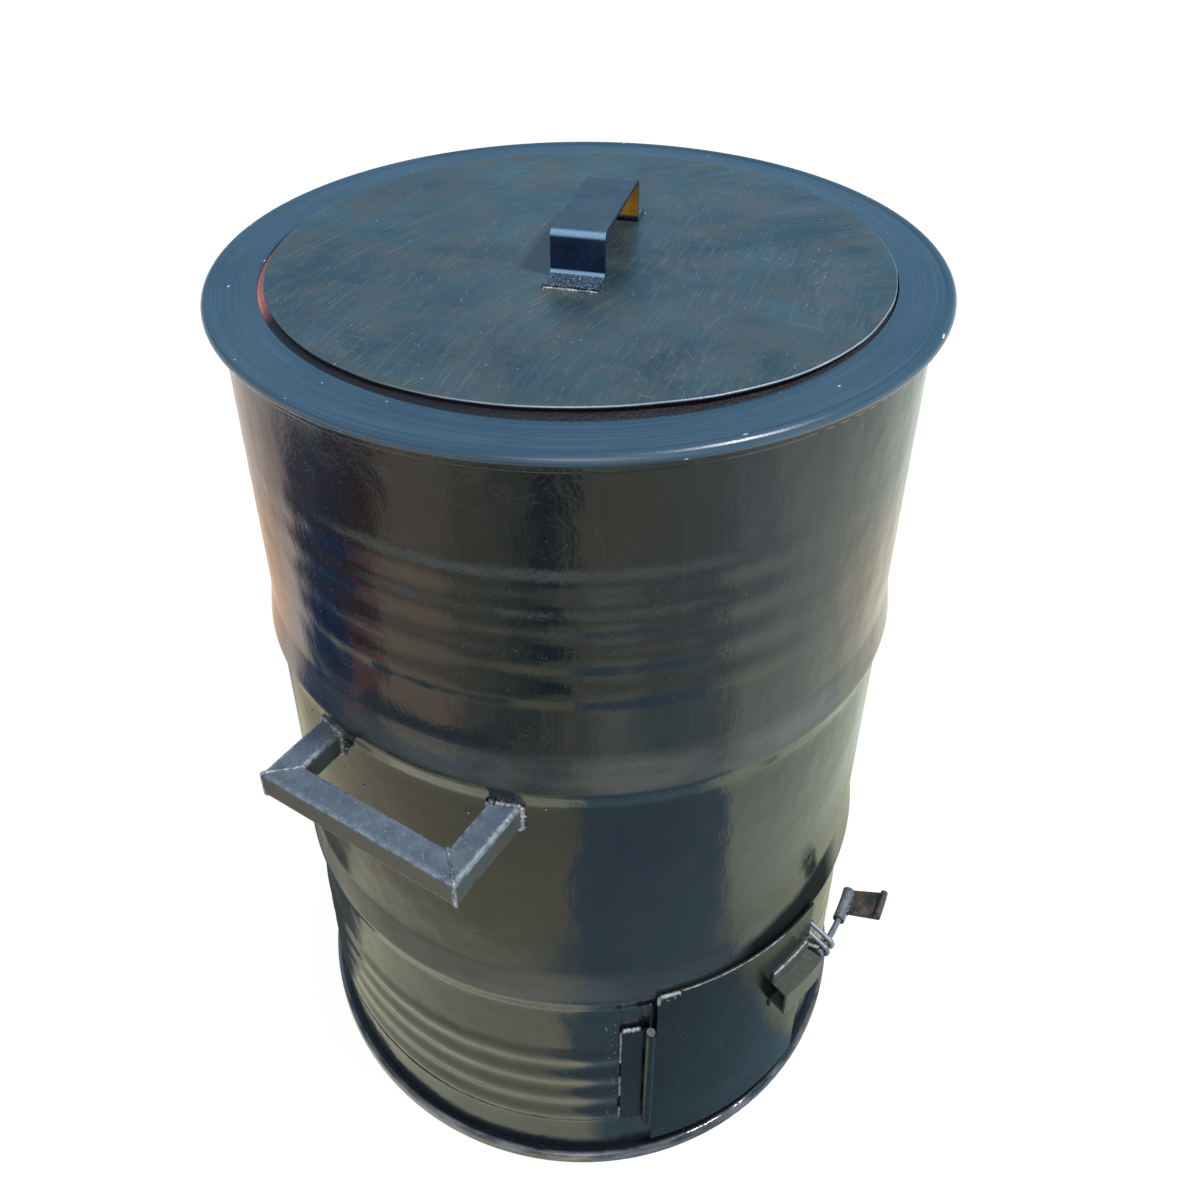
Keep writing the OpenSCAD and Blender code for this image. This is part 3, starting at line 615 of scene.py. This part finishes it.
def stands_out(z, shares=(1.0, 1.0)):
    """How far hoops and beads stand out of the wall at height z, in millimetres."""
    out = 0.0
    for hoop in hoops:
        if hoop - hoop_under < z < hoop - hoop_flat:
            out = max(out, hoop_out * (z - hoop + hoop_under) / (hoop_under - hoop_flat))
        elif hoop - hoop_flat <= z <= hoop + hoop_flat:
            out = hoop_out
        elif hoop + hoop_flat < z < hoop + hoop_over:
            out = max(out, hoop_out * (hoop + hoop_over - z) / (hoop_over - hoop_flat))
    for bead in beads:
        if abs(z - bead) < bead_half:
            swell = 0.5 + 0.5 * math.cos(math.pi * (z - bead) / bead_half)
            out = max(out, shares[bead > low_end] * bead_out * swell)
    return out


def softened(z, shares=(1.0, 1.0), reach=2.4):
    """The same, averaged over a few millimetres, which rounds every corner."""
    steps = [reach * (k / 4 - 1) for k in range(9)]
    return sum(stands_out(z + step, shares) for step in steps) / len(steps)


def plain(z):
    """True where the wall is straight, so that few rows of points are enough."""
    on_hoop = any(hoop - hoop_under - 2 < z < hoop + hoop_over + 2 for hoop in hoops)
    return not (on_hoop or any(abs(z - bead) < bead_half for bead in beads))


def rows_up_the_wall():
    """Heights of the rows of points, in millimetres, with one at each edge of the port."""
    sparse = [drum_low + 11.5 * i for i in range(75)]
    rows = {round(z, 2) for z in sparse if z < drum_high - 3 and plain(z)}
    rows |= {round(hoop + 2.0 * k, 2) for hoop in hoops for k in range(-11, 20)}
    rows |= {round(bead + 2.4 * k, 2) for bead in beads for k in range(-7, 8)}
    rows = sorted(rows | {*port_edges, drum_high})
    return [z for i, z in enumerate(rows) if i == 0 or z - rows[i - 1] > 1.0 or z in port_edges]


heights = rows_up_the_wall()
print("rows up the wall:", len(heights))

# %% [markdown]
# ## Spin and dent the wall
# Smooth noise pushes points in, by less than a millimetre, because a real drum has dents but hardly
# ever a swelling. The beads weren't rolled equally deep all round, so their share of the full
# depth changes with the direction. Faces are left out where the fire port goes through.

# %% Spin the wall
def bead_shares(direction):
    """How deep the low and the high beads were rolled in a direction, in degrees round the drum."""
    def dip(start, low, high, end, least):
        down = min(1.0, max(0.0, (direction - start) / (low - start)))
        up = min(1.0, max(0.0, (direction - high) / (end - high)))
        return 1 - (1 - least) * (0.5 - 0.5 * math.cos(math.pi * min(down, 1 - up)))
    high_share = 0.68 * dip(-14, 10, 60, 85, 0.08) * dip(-150, -118, -86, -60, 0.12)
    return dip(-32, 6, 45, 80, 0.25), high_share


def dent(angle, z, depth=0.45, deepest=0.9):
    """A smooth push towards the axis, in millimetres."""
    x, y = math.sin(angle) * 2.2, math.cos(angle) * 2.2
    wide = noise.noise(Vector((x, y, z / 260)))
    tight = noise.noise(Vector((x * 2.6 + 9, y * 2.6, z / 110)))
    return max(-deepest, min(0.0, -depth * (0.5 + 0.75 * wide + 0.35 * tight)))


def spin_wall(columns=232):
    port = math.asin(port_half / drum_r)
    angles = sorted([2 * math.pi * i / columns - math.pi for i in range(columns)] + [-port, port])
    mesh = bmesh.new()
    grid = []
    # Only the beads' depth changes round the drum, so two outlines are enough to blend between
    bare = {z: softened(z, (0.0, 0.0)) for z in heights}
    beaded = {z: softened(z) for z in heights}
    for angle in angles:
        column = []
        shares = bead_shares(math.degrees(angle))
        for z in heights:
            r = drum_r + bare[z] + shares[z > low_end] * (beaded[z] - bare[z]) + dent(angle, z)
            column.append(mesh.verts.new((r * math.sin(angle) * mm, -r * math.cos(angle) * mm, z * mm)))
        grid.append(column)
    for i, column in enumerate(grid):
        after = grid[(i + 1) % len(grid)]
        middle = (angles[i] + (angles[i + 1] if i + 1 < len(angles) else math.pi)) / 2
        for k in range(len(heights) - 1):
            height = (heights[k] + heights[k + 1]) / 2
            if abs(middle) < port and port_edges[0] <= height <= port_edges[1]:
                continue
            mesh.faces.new((column[k], after[k], after[k + 1], column[k + 1]))
    loose = [point for point in mesh.verts if not point.link_faces]
    bmesh.ops.delete(mesh, geom=loose, context="VERTS")
    return mesh


def keep(name, mesh, finish, body):
    """Turns a bmesh into a smooth piece that rides on a body."""
    data = bpy.data.meshes.new(name)
    mesh.to_mesh(data)
    mesh.free()
    data.materials.append(finish)
    for face in data.polygons:
        face.use_smooth = True
    piece = bpy.data.objects.new(name, data)
    bpy.context.scene.collection.objects.link(piece)
    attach(piece, body)
    return piece


drum_skin = keep("drum_skin", spin_wall(), drum_enamel, "root")
sheet = drum_skin.modifiers.new("sheet", "SOLIDIFY")
sheet.thickness = 1.2 * mm
sheet.offset = -1
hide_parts("drum_shell")
print("faces in the drum's skin:", len(drum_skin.data.polygons))

# %% [markdown]
# ## Weld beads
# A stick weld is a row of small overlapping pools. We model one as a tube along a path whose
# radius swells and shrinks with each pool, a little unevenly, and close its two ends. One helper
# serves every joint that a welder would make here, and another one adds the drops of spatter.

# %% Helpers that lay a bead and a drop
dice = random.Random(7)


def lay_bead(mesh, path, radius, pool=3.2, sides=8):
    """Adds a rippled bead along points in millimetres."""
    points = [Vector(p) for p in path]
    spots = []
    for a, b in zip(points, points[1:]):
        steps = max(2, int((b - a).length / (pool / 4)))
        spots += [a.lerp(b, i / steps) for i in range(steps)]
    spots.append(points[-1])
    rings, last = [], len(spots) - 1
    for i, spot in enumerate(spots):
        ahead = (spots[min(i + 1, last)] - spots[max(i - 1, 0)]).normalized()
        side = ahead.orthogonal().normalized()
        up = ahead.cross(side)
        phase = (i % 4) / 4
        size = radius * (0.82 + 0.3 * math.sin(math.pi * phase)) * dice.uniform(0.9, 1.1)
        if i in (0, last):
            size *= 0.45
        off = Vector([dice.uniform(-0.12, 0.12) * radius for _ in range(3)])
        rings.append([mesh.verts.new((spot + off + (side * math.cos(t) + up * math.sin(t)) * size) * mm)
                      for t in [2 * math.pi * k / sides for k in range(sides)]])
    for low, high in zip(rings, rings[1:]):
        for k in range(sides):
            mesh.faces.new((low[k], low[(k + 1) % sides], high[(k + 1) % sides], high[k]))
    mesh.faces.new(list(reversed(rings[0])))
    mesh.faces.new(rings[-1])


def lay_drop(mesh, spot, size):
    """Adds one drop of spatter."""
    bmesh.ops.create_icosphere(mesh, subdivisions=1, radius=size * mm,
                               matrix=Matrix.Translation(Vector(spot) * mm))


print("helpers for weld beads and spatter")

# %% [markdown]
# ## Welds on the carrying handles
# Each handle is three lengths of tube, mitred at two corners, and its feet are cut to the drum. So a
# handle has beads along each mitre and one all round each foot, with spatter about it. The two
# handles are half a turn apart, so we write the places for one and turn them.

# %% Weld the carrying handles
tube_low, tube_high = span("left_grip", "z")
tube, handle_z = tube_high - tube_low, (tube_low + tube_high) / 2
grip_out, half_grip, handle_side = 350.0, 98.0, 17.0
foot_points = 4  # along each side of a foot


def on_handle(direction, u, w, z):
    """A point of a handle: u along the grip, w out from the axis, z above the tube's middle."""
    x, y = handle_side + u, -w
    c, s = math.cos(direction), math.sin(direction)
    return (x * c - y * s, x * s + y * c, handle_z + z)


def out_to_wall(u):
    """How far out the face of the drum's wall is, at a place along the grip."""
    return math.sqrt(drum_r ** 2 - (handle_side + u) ** 2) + 0.6


def weld_handle(name, direction):
    mesh = bmesh.new()
    h = tube / 2

    def line(start, end, radius):
        lay_bead(mesh, [on_handle(direction, *start), on_handle(direction, *end)], radius)

    for side in (-1, 1):
        outer, inner = side * half_grip, side * (half_grip - tube)
        for z in (h, -h):
            line((outer * 0.995, grip_out - 1, z), (inner, grip_out - tube, z), 1.5)
        line((inner, grip_out - tube, -h), (inner, grip_out - tube, h), 1.8)
        line((outer * 0.992, grip_out - 1.4, -h), (outer * 0.992, grip_out - 1.4, h), 1.3)
        corners = [(outer, h), (inner, h), (inner, -h), (outer, -h), (outer, h)]
        ring = []
        for (u0, z0), (u1, z1) in zip(corners, corners[1:]):
            for k in range(foot_points):
                u, z = u0 + (u1 - u0) * k / foot_points, z0 + (z1 - z0) * k / foot_points
                ring.append(on_handle(direction, u, out_to_wall(u), z))
        lay_bead(mesh, ring + ring[:1], 2.6, 4.0)
        for _ in range(16):
            u, z = side * (half_grip - h) + dice.gauss(0, 16), dice.gauss(0, 14)
            if abs(z) > h + 1 or abs(abs(u) - half_grip + h) > h + 1:
                lay_drop(mesh, on_handle(direction, u, out_to_wall(u) - 0.4, z), dice.uniform(0.5, 1.3))
    return keep(name, mesh, weld_metal, "root")


left_welds = weld_handle("left_handle_welds", math.radians(-64))
right_welds = weld_handle("right_handle_welds", math.radians(116))
print("handle welds:", len(left_welds.data.polygons), "and", len(right_welds.data.polygons), "faces")

# %% [markdown]
# ## Welds on the wall
# The hinge's wall leaf is tacked to the drum in three places along its free edge and welded at both
# ends. Each staple of the bolt has a bead round both its feet. All of this follows the drum, so a
# point is given by its direction round the drum, its distance from the axis and its height.

# %% Weld the hinge and the staples to the wall
def on_drum(degrees_round, r, z):
    """A point by its direction round the drum, its distance from the axis and its height."""
    a = math.radians(degrees_round)
    return (r * math.sin(a), -r * math.cos(a), z)


def arc(start, end, r, z, steps=8):
    """Points along the drum from one direction to another."""
    return [on_drum(start + (end - start) * i / steps, r, z) for i in range(steps + 1)]


hinge_turn, barrel_turn = -19, 1.12  # degrees: the pin, and half the barrel
leaf_wide, leaf_r = 20, 290.5
leaf_edge = hinge_turn - barrel_turn - math.degrees(leaf_wide / leaf_r)
leaf_low, leaf_high = span("wall_hinge_leaf", "z")
bolt_z = sum(span("bolt_rod", "z")) / 2
staple_foot = 14.2  # from the middle of the bolt up or down to a staple's foot

wall_welds = bmesh.new()
for low, high in ((78, 96), (120, 152), (178, 228)):
    tack = [on_drum(leaf_edge, leaf_r + 0.1, z) for z in (low, high)]
    lay_bead(wall_welds, tack, 1.7, 3.0)
lay_bead(wall_welds, arc(leaf_edge, -20.6, leaf_r + 0.4, leaf_high + 0.3), 2.1, 3.4)
lay_bead(wall_welds, arc(leaf_edge, -22.2, leaf_r - 0.1, leaf_low - 0.3), 1.7, 3.0)
for _ in range(26):
    z = dice.uniform(70, 236)
    spot = on_drum(leaf_edge - abs(dice.gauss(0, 1.1)) - 0.3, drum_r + softened(z) - 0.3, z)
    lay_drop(wall_welds, spot, dice.uniform(0.4, 1.0))
for direction in (19.95, 21.81):
    for side in (-1, 1):
        foot = [on_drum(direction + 1.0 * math.cos(t), drum_r + 0.4,
                        bolt_z + side * staple_foot + 4.2 * math.sin(t))
                for t in [2 * math.pi * k / 8 for k in range(9)]]
        lay_bead(wall_welds, foot, 1.2, 2.6)
keep("wall_welds", wall_welds, weld_metal, "root")
print("hinge and staples welded to the wall")

# %% [markdown]
# ## Welds that move
# What is welded to the door has to swing with it, and what is welded to the bolt has to slide with
# it. So these beads are pieces of their own, each on its own body. The door's upper edge gets a
# very thin bead with long ripples too, a painted highlight that reads as a bright line along the edge.

# %% Weld the door's leaf, the keeper and the bolt
door_top = span("door_plate", "z")[1]
door_r = -span("door_plate", "y")[0]
keeper_low, keeper_high = span("door_keeper", "z")
bolt_r = 307.5

door_welds = bmesh.new()
lay_bead(door_welds, arc(-17.7, -13.8, door_r + 0.3, door_top - 1), 1.7, 3.0)
corner = [on_drum(-17.8, door_r + 0.3, door_top - down) for down in (1, 13)]
lay_bead(door_welds, corner, 1.6, 3.0)
for z in (keeper_low + 1.0, keeper_high + 0.8):
    lay_bead(door_welds, arc(7.2, 17.2, door_r + 0.5, z), 1.3, 3.0)
for _ in range(14):
    spot = on_drum(-15.5 + dice.gauss(0, 1.4), door_r, door_top - 4 - abs(dice.gauss(0, 6)))
    lay_drop(door_welds, spot, dice.uniform(0.4, 0.9))
keep("door_welds", door_welds, weld_metal, "door")

# A painted highlight: a thin pale bead along the door's upper edge.
door_edge_highlight = bmesh.new()
lay_bead(door_edge_highlight, arc(-13.6, 9.0, door_r, door_top - 0.2, 24), 0.55, 9.0, 6)
keep("door_edge_highlight", door_edge_highlight, weld_metal, "door")

bolt_welds = bmesh.new()
for out, up in ((5.4, 3.2), (5.8, -1.6)):
    lay_bead(bolt_welds, arc(29.2, 34.2, bolt_r + out, bolt_z + up), 1.0, 2.6)
keep("bolt_welds", bolt_welds, weld_metal, "bolt")
print("door, keeper and bolt welded")

# %% [markdown]
# ## The lid's sheet
# The lid is a disc cut from sheet by hand. It has a softened edge, and it has sprung up a little at
# the front, where a dark gap shows under it. We build it from rings of points so that each ring can
# take its own height, and so that the cut can wander in and out.

# %% How the lid is bent and cut
handle_off = 15.0  # the lid's handle is welded on this far to the right of its middle
strip_x, strip_y = [sum(span("lid_handle", axis)) / 2 for axis in "xy"]
lid_x, lid_y, lid_r = strip_x - handle_off, strip_y, 252.0
lid_low, lid_high = span("lid_plate", "z")


def lid_lift(angle, r):
    """How far the sheet has sprung up at a point, in millimetres."""
    rim = max(0.0, (r - 150) / (lid_r - 150)) ** 2
    front = max(0.0, math.cos(angle - math.radians(-14))) ** 6
    ripple = noise.noise(Vector((math.sin(angle) * 1.6, math.cos(angle) * 1.6, r / 200)))
    return rim * (2.2 * front + 0.35 * max(0.0, ripple))


def lid_bulge(angle):
    """The disc was cut by hand: how much too wide it is, in millimetres, by direction in degrees."""
    cuts = ((-180, 0.3), (-150, 1.5), (-130, 3.2), (-112, 4.6), (-95, 5.0), (-80, 4.8), (-68, 3.8),
            (-57, 2.4), (-46, 1.5), (-34, 0.8), (-22, 1.2), (-10, 3.4), (3, 4.6), (18, 3.9),
            (32, 2.4), (48, 1.0), (65, 0.0), (130, 0.0), (180, 0.3))
    at = math.degrees(angle)
    for (low, size), (high, after) in zip(cuts, cuts[1:]):
        if low <= at <= high:
            share = 0.5 - 0.5 * math.cos(math.pi * (at - low) / (high - low))
            return size + (after - size) * share
    return cuts[-1][1]


print("the lid is too wide by up to", max(lid_bulge(math.radians(d)) for d in range(-180, 181)), "mm")

# %% Cut the lid
def cut_lid(columns=288, edge_from=240):
    """Rings from the middle of the top, round the edge, to the middle of the underside."""
    flat = (0.5, 30, 60, 90, 120, 150, 170, 190, 205, 220, 232, 242)
    half, middle = (lid_high - lid_low) / 2, (lid_low + lid_high) / 2
    section = [(r, lid_high) for r in flat]
    section += [(lid_r - half + half * math.sin(t), middle + half * math.cos(t))
                for t in [math.pi * k / 8 for k in range(9)]]
    section += [(r, lid_low) for r in reversed(flat)]
    mesh = bmesh.new()
    rings = []
    for r, z in section:
        ring = []
        for a in [2 * math.pi * i / columns - math.pi for i in range(columns)]:
            q = r
            if r > edge_from:
                jagged = noise.noise(Vector((math.sin(a) * 5, math.cos(a) * 5, 3)))
                q = r - 0.6 * (0.5 + 0.5 * jagged) + lid_bulge(a)
            x, y = lid_x + q * math.sin(a), lid_y - q * math.cos(a)
            ring.append(mesh.verts.new((x * mm, y * mm, (z + lid_lift(a, r)) * mm)))
        rings.append(ring)
    for low, high in zip(rings, rings[1:]):
        for i in range(columns):
            k = (i + 1) % columns
            mesh.faces.new((low[i], high[i], high[k], low[k]))
    mesh.faces.new(rings[0])
    mesh.faces.new(list(reversed(rings[-1])))
    return mesh


lid_sheet = keep("lid_sheet", cut_lid(), lid_enamel, "lid")
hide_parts("lid_plate")
print("faces in the lid:", len(lid_sheet.data.polygons))

# %% [markdown]
# ## The lid's handle
# The handle is one strip bent four times. Its top is painted paler, a painted reflection of the sky, its
# upright faces are deep navy, a painted shade, and its bends carry a painted highlight. The inside of the
# far leg is ochre. A mask from the surface's direction tells top from sides, and a plane splits off the
# far leg.

# %% The handle's colours, with painted light and shade
strip_turn = math.radians(134)
# The direction along the strip, from its far leg to its near leg, and the one across it
strip_along = Vector((-math.sin(strip_turn), math.cos(strip_turn), 0))
strip_across = Vector((-strip_along.y, strip_along.x, 0))
strip_middle = Vector((strip_x, strip_y, 0))


def strip_paint(tree, place, clouds, specks):
    """Navy on the upright faces as painted shade, paler on top as a painted reflection of the sky, a
    painted highlight at the bends, and speckled at the feet.
    """
    upwards = parts(tree, outward(tree))[2]
    navy = blend(tree, rise(tree, clouds, 0.4, 0.7), (0.0006, 0.0055, 0.025), (0.0025, 0.012, 0.038))
    lit_top = blend(tree, rise(tree, clouds, 0.35, 0.65), (0.018, 0.036, 0.060), (0.036, 0.060, 0.085))
    # Painted shade on the upright faces and a painted reflection of the sky on top.
    colour = blend(tree, rise(tree, upwards, 0.35, 0.8), navy, lit_top)
    bend_highlight = ramp(tree, upwards, (0.12, 0.0), (0.4, 1.0), (0.75, 1.0), (0.95, 0.0))
    # A painted highlight on the bends.
    colour = blend(tree, bend_highlight, colour, (0.14, 0.24, 0.36))
    height = parts(tree, place)[2]
    foot = ramp(tree, within(tree, height, 0.870, 0.880), (0.45, 1.0), (0.6, 0.0))
    return blend(tree, times(tree, foot, specks), colour, (0.42, 0.50, 0.60))


def ochre_inside_far_leg(tree, place, clouds, colour):
    """Ochre where a face looks back along the strip, on the far leg, above its foot."""
    far_end = strip_middle.dot(strip_along) * mm - 0.04
    inside = rise(tree, dot(tree, outward(tree), strip_along), 0.45, 0.7)
    far_leg = below(tree, dot(tree, place, strip_along), far_end)
    above = rise(tree, within(tree, parts(tree, place)[2], 0.874, 0.884), 0.2, 0.5)
    ochre = blend(tree, rise(tree, clouds, 0.4, 0.65), (0.20, 0.085, 0.004), (0.30, 0.16, 0.012))
    return blend(tree, times(tree, times(tree, inside, far_leg), above), colour, ochre)


def make_strip_enamel():
    finish, tree, shader, place = start_finish("strip_enamel")
    clouds = grain(tree, place, 0.02, detail=5.0, rough=0.65)
    strokes = grain(tree, place, 0.0012, (14, 14, 1), 3.0, 0.6, 3.0)
    specks = rise(tree, grain(tree, place, 0.0014, detail=1.0, rough=0.4, shift=9.0), 0.62, 0.70)
    colour = ochre_inside_far_leg(tree, place, clouds, strip_paint(tree, place, clouds, specks))
    shader.inputs["IOR"].default_value = 1.38
    finish_surface(tree, shader, colour, ramp(tree, clouds, (0.3, 0.28), (0.7, 0.5)),
                   [(clouds, 0.0006), (strokes, 0.00008), (specks, 0.00015)])
    return finish


share_out(make_strip_enamel(), "lid_handle")
print("lid handle painted")

# %% Weld the handle to the lid
foot_out, strip_half = 87, 22  # from the handle's middle to a weld, and half the strip's width
strip_welds = bmesh.new()
for end in (strip_middle + strip_along * foot_out, strip_middle - strip_along * foot_out):
    bead = [end + strip_across * u + Vector((0, 0, lid_high + 0.6)) for u in (-strip_half, strip_half)]
    lay_bead(strip_welds, bead, 1.3, 2.8)
    for _ in range(10):
        spot = end + strip_across * dice.uniform(-26, 26) + strip_along * dice.uniform(-6, 6)
        lay_drop(strip_welds, (spot.x, spot.y, lid_high + 0.4), dice.uniform(0.5, 1.1))
keep("strip_welds", strip_welds, weld_metal, "lid")
print("lid handle welded")

# %% [markdown]
# ## Broken edges
# No plate leaves a workshop with knife edges: a file takes them off. A drawn edge is perfectly
# sharp and never catches the light, so we add a bevel of half a millimetre as a modifier, which
# leaves the CAD shapes as they are.

# %% Break the sharp edges of the plates
plates = ("door_plate", "door_keeper", "door_hinge_leaf", "wall_hinge_leaf", "lid_handle",
          "bolt_thumb_plate")
for name in plates:
    edge = cad[name].modifiers.new("broken_edge", "BEVEL")
    edge.width = 0.5 * mm
    edge.segments = 2
    edge.limit_method = "ANGLE"
    edge.angle_limit = math.radians(50)
print("plates with broken edges:", len(plates))

# %% [markdown]
# ## The floor
# Gloss black is as dark or bright as what it mirrors. Looking down, the drum's wall mirrors the
# ground around it. So the floor stays plain and white for the camera, and only mirror rays see pale
# and dark patches on it. We could build such patches as pieces and hide them, but a pattern in the
# floor's own finish is simpler. Each band of the wall mirrors the ground at another distance, so
# there are four patterns, from the drum outwards, each a list of directions in degrees and colours.

# %% The patches that the wall mirrors
near_ground = (
    (-180, (0.1, 0.12, 0.12)), (-106, (0.84, 0.86, 0.64)), (-34, (0.20, 0.33, 0.42)),
    (18, (0.60, 0.64, 0.46)), (100, (0.6, 0.6, 0.55)), (180, (0.1, 0.12, 0.12)))
middle_ground = (
    (-180, (0.4, 0.42, 0.36)), (-150, (0.66, 0.62, 0.44)), (-31, (0.22, 0.35, 0.48)),
    (17, (0.92, 1.0, 0.82)), (100, (1.15, 1.1, 0.9)), (180, (1.1, 1.0, 0.85)))
wide_ground = (
    (-180, (1.1, 0.75, 0.55)), (-142, (1.15, 1.0, 0.9)), (-128, (0.03, 0.09, 0.24)),
    (-104, (0.45, 0.22, 0.22)), (-93, (0.86, 0.68, 0.50)), (-66, (0.32, 0.36, 0.30)),
    (-50, (0.16, 0.23, 0.22)), (-38, (0.46, 0.48, 0.38)), (-26, (0.76, 0.82, 0.68)),
    (-12, (0.44, 0.56, 0.54)), (4, (0.46, 0.56, 0.56)), (15, (0.92, 1.02, 0.90)),
    (60, (1.15, 1.1, 0.9)), (180, (1.1, 0.95, 0.8)))
far_ground = (
    (-180, (0.95, 0.80, 0.70)), (-142, (0.85, 0.68, 0.62)), (-128, (0.10, 0.09, 0.17)),
    (-103, (0.14, 0.07, 0.09)), (-90, (0.66, 0.54, 0.42)), (-68, (0.40, 0.38, 0.27)),
    (-54, (0.26, 0.27, 0.20)), (-46, (0.02, 0.04, 0.06)), (-32, (0.55, 0.54, 0.40)),
    (0, (0.48, 0.54, 0.52)), (17, (0.72, 0.86, 0.86)), (32, (1.0, 1.08, 0.98)),
    (180, (1.2, 1.25, 1.2)))


def patches_round(tree, turn, stops, soft=0.012):
    """A ramp over one turn of the drum, whose front is at 0.5, with a soft change at each stop."""
    spread = []
    for (start, colour), (end, _) in zip(stops, stops[1:]):
        spread += [(0.5 + start / 360, colour), (0.5 + end / 360 - soft, colour)]
    return ramp(tree, turn, *spread, (1.0, stops[-1][1]))


def mirrored_ground(tree, place):
    """The colour of the ground as the drum's gloss mirrors it."""
    way, radius, _ = parts(tree, round_the_drum(tree, place))
    turn = within(tree, way, -wrap_r * math.pi, wrap_r * math.pi)
    turn = plus(tree, turn, times_plus(tree, grain(tree, place, 0.25), 0.05, -0.025))
    # Close to the drum the edges of the patches run askew, not straight out from its axis
    askew = plus(tree, turn, times_plus(tree, radius, 0.2, -0.085))
    seen = patches_round(tree, askew, near_ground)
    # Where each farther pattern begins and where it has taken over, in metres from the axis
    for start, end, stops in ((0.46, 0.54, middle_ground), (0.72, 0.86, wide_ground),
                              (1.02, 1.32, far_ground)):
        past = within(tree, radius, start, end, interpolation_type="SMOOTHSTEP")
        seen = blend(tree, past, seen, patches_round(tree, turn, stops))
    far_off = within(tree, radius, 1.45, 1.9, interpolation_type="SMOOTHSTEP")
    return blend(tree, far_off, seen, (0.92, 1.02, 1.02))


print("patches on the farthest ground:", len(far_ground) - 1)

# %% Lay the floor
def make_floor():
    finish = bpy.data.materials.new("pale_floor")
    finish.use_nodes = True
    tree = finish.node_tree
    tree.nodes.remove(tree.nodes["Principled BSDF"])
    seen = mirrored_ground(tree, put(tree, "TexCoord", out=3))
    ground = put(tree, "Emission", Color=seen, Strength=1.0)
    plain_grey = put(tree, "BsdfDiffuse", Color=(0.82, 0.82, 0.82))
    # To the camera the floor mostly glows and takes a little light, so only a trace of shade shows
    glow = put(tree, "Emission", Color=(1, 1, 1), Strength=1.1)
    soft = put(tree, "MixShader", a=0.22, b=glow, c=put(tree, "BsdfDiffuse", Color=(1.0, 1.0, 1.0)))
    path = tree.nodes.new("ShaderNodeLightPath").outputs
    body = put(tree, "MixShader", a=path["Is Glossy Ray"], b=plain_grey, c=ground)
    body = put(tree, "MixShader", a=path["Is Camera Ray"], b=body, c=soft)
    tree.links.new(body, tree.nodes["Material Output"].inputs["Surface"])
    return finish


floor_r = 30
disc = bmesh.new()
bmesh.ops.create_circle(disc, cap_ends=True, segments=96, radius=floor_r)
floor_data = bpy.data.meshes.new("studio_floor")
disc.to_mesh(floor_data)
floor_data.materials.append(make_floor())
floor = bpy.data.objects.new("studio_floor", floor_data)
bpy.context.scene.collection.objects.link(floor)
print("floor across:", 2 * floor_r, "m")

# %% [markdown]
# ## The sky and the lamps
# The lid and the ring mirror the sky, and the sky lights what is in the shade. Like the floor, it has
# more than one look: white for the camera, a blue ramp by height for mirror rays, and a pale grey for
# all other light. One small lamp gives crisp glints, and a wide one fills the left side.

# %% Hang the sky and the lamps
def make_sky():
    world = bpy.data.worlds.new("studio_sky")
    world.use_nodes = True
    tree = world.node_tree
    tree.nodes.clear()
    height = parts(tree, put(tree, "TexCoord", out=0))[2]
    mirrored = ramp(tree, height, (0.0, (0.62, 0.80, 0.92)), (0.2, (0.18, 0.40, 0.60)),
                    (0.46, (0.22, 0.46, 0.68)), (0.64, (0.44, 0.66, 0.88)), (1.0, (0.30, 0.5, 0.8)))
    path = tree.nodes.new("ShaderNodeLightPath").outputs
    seen = blend(tree, path["Is Glossy Ray"], (0.72, 0.74, 0.78), mirrored)
    seen = blend(tree, path["Is Camera Ray"], seen, (1.0, 1.0, 1.0))
    sky = put(tree, "Background", Color=seen)
    tree.links.new(sky, tree.nodes.new("ShaderNodeOutputWorld").inputs[0])
    return world


def hang_lamp(name, place, size, power, aim=(0, 0, 0.6)):
    """A round lamp that looks at the oven, in metres and watts."""
    data = bpy.data.lights.new(name, "AREA")
    data.shape = "DISK"
    data.size = size
    data.energy = power
    lamp = bpy.data.objects.new(name, data)
    bpy.context.scene.collection.objects.link(lamp)
    lamp.location = place
    lamp.rotation_euler = (Vector(aim) - Vector(place)).to_track_quat("-Z", "Y").to_euler()


bpy.context.scene.world = make_sky()
hang_lamp("main_lamp", (1.1, -2.0, 3.8), 0.5, 130)
hang_lamp("soft_lamp", (-1.6, -2.6, 2.2), 1.8, 30)
print("lamps and sky ready")
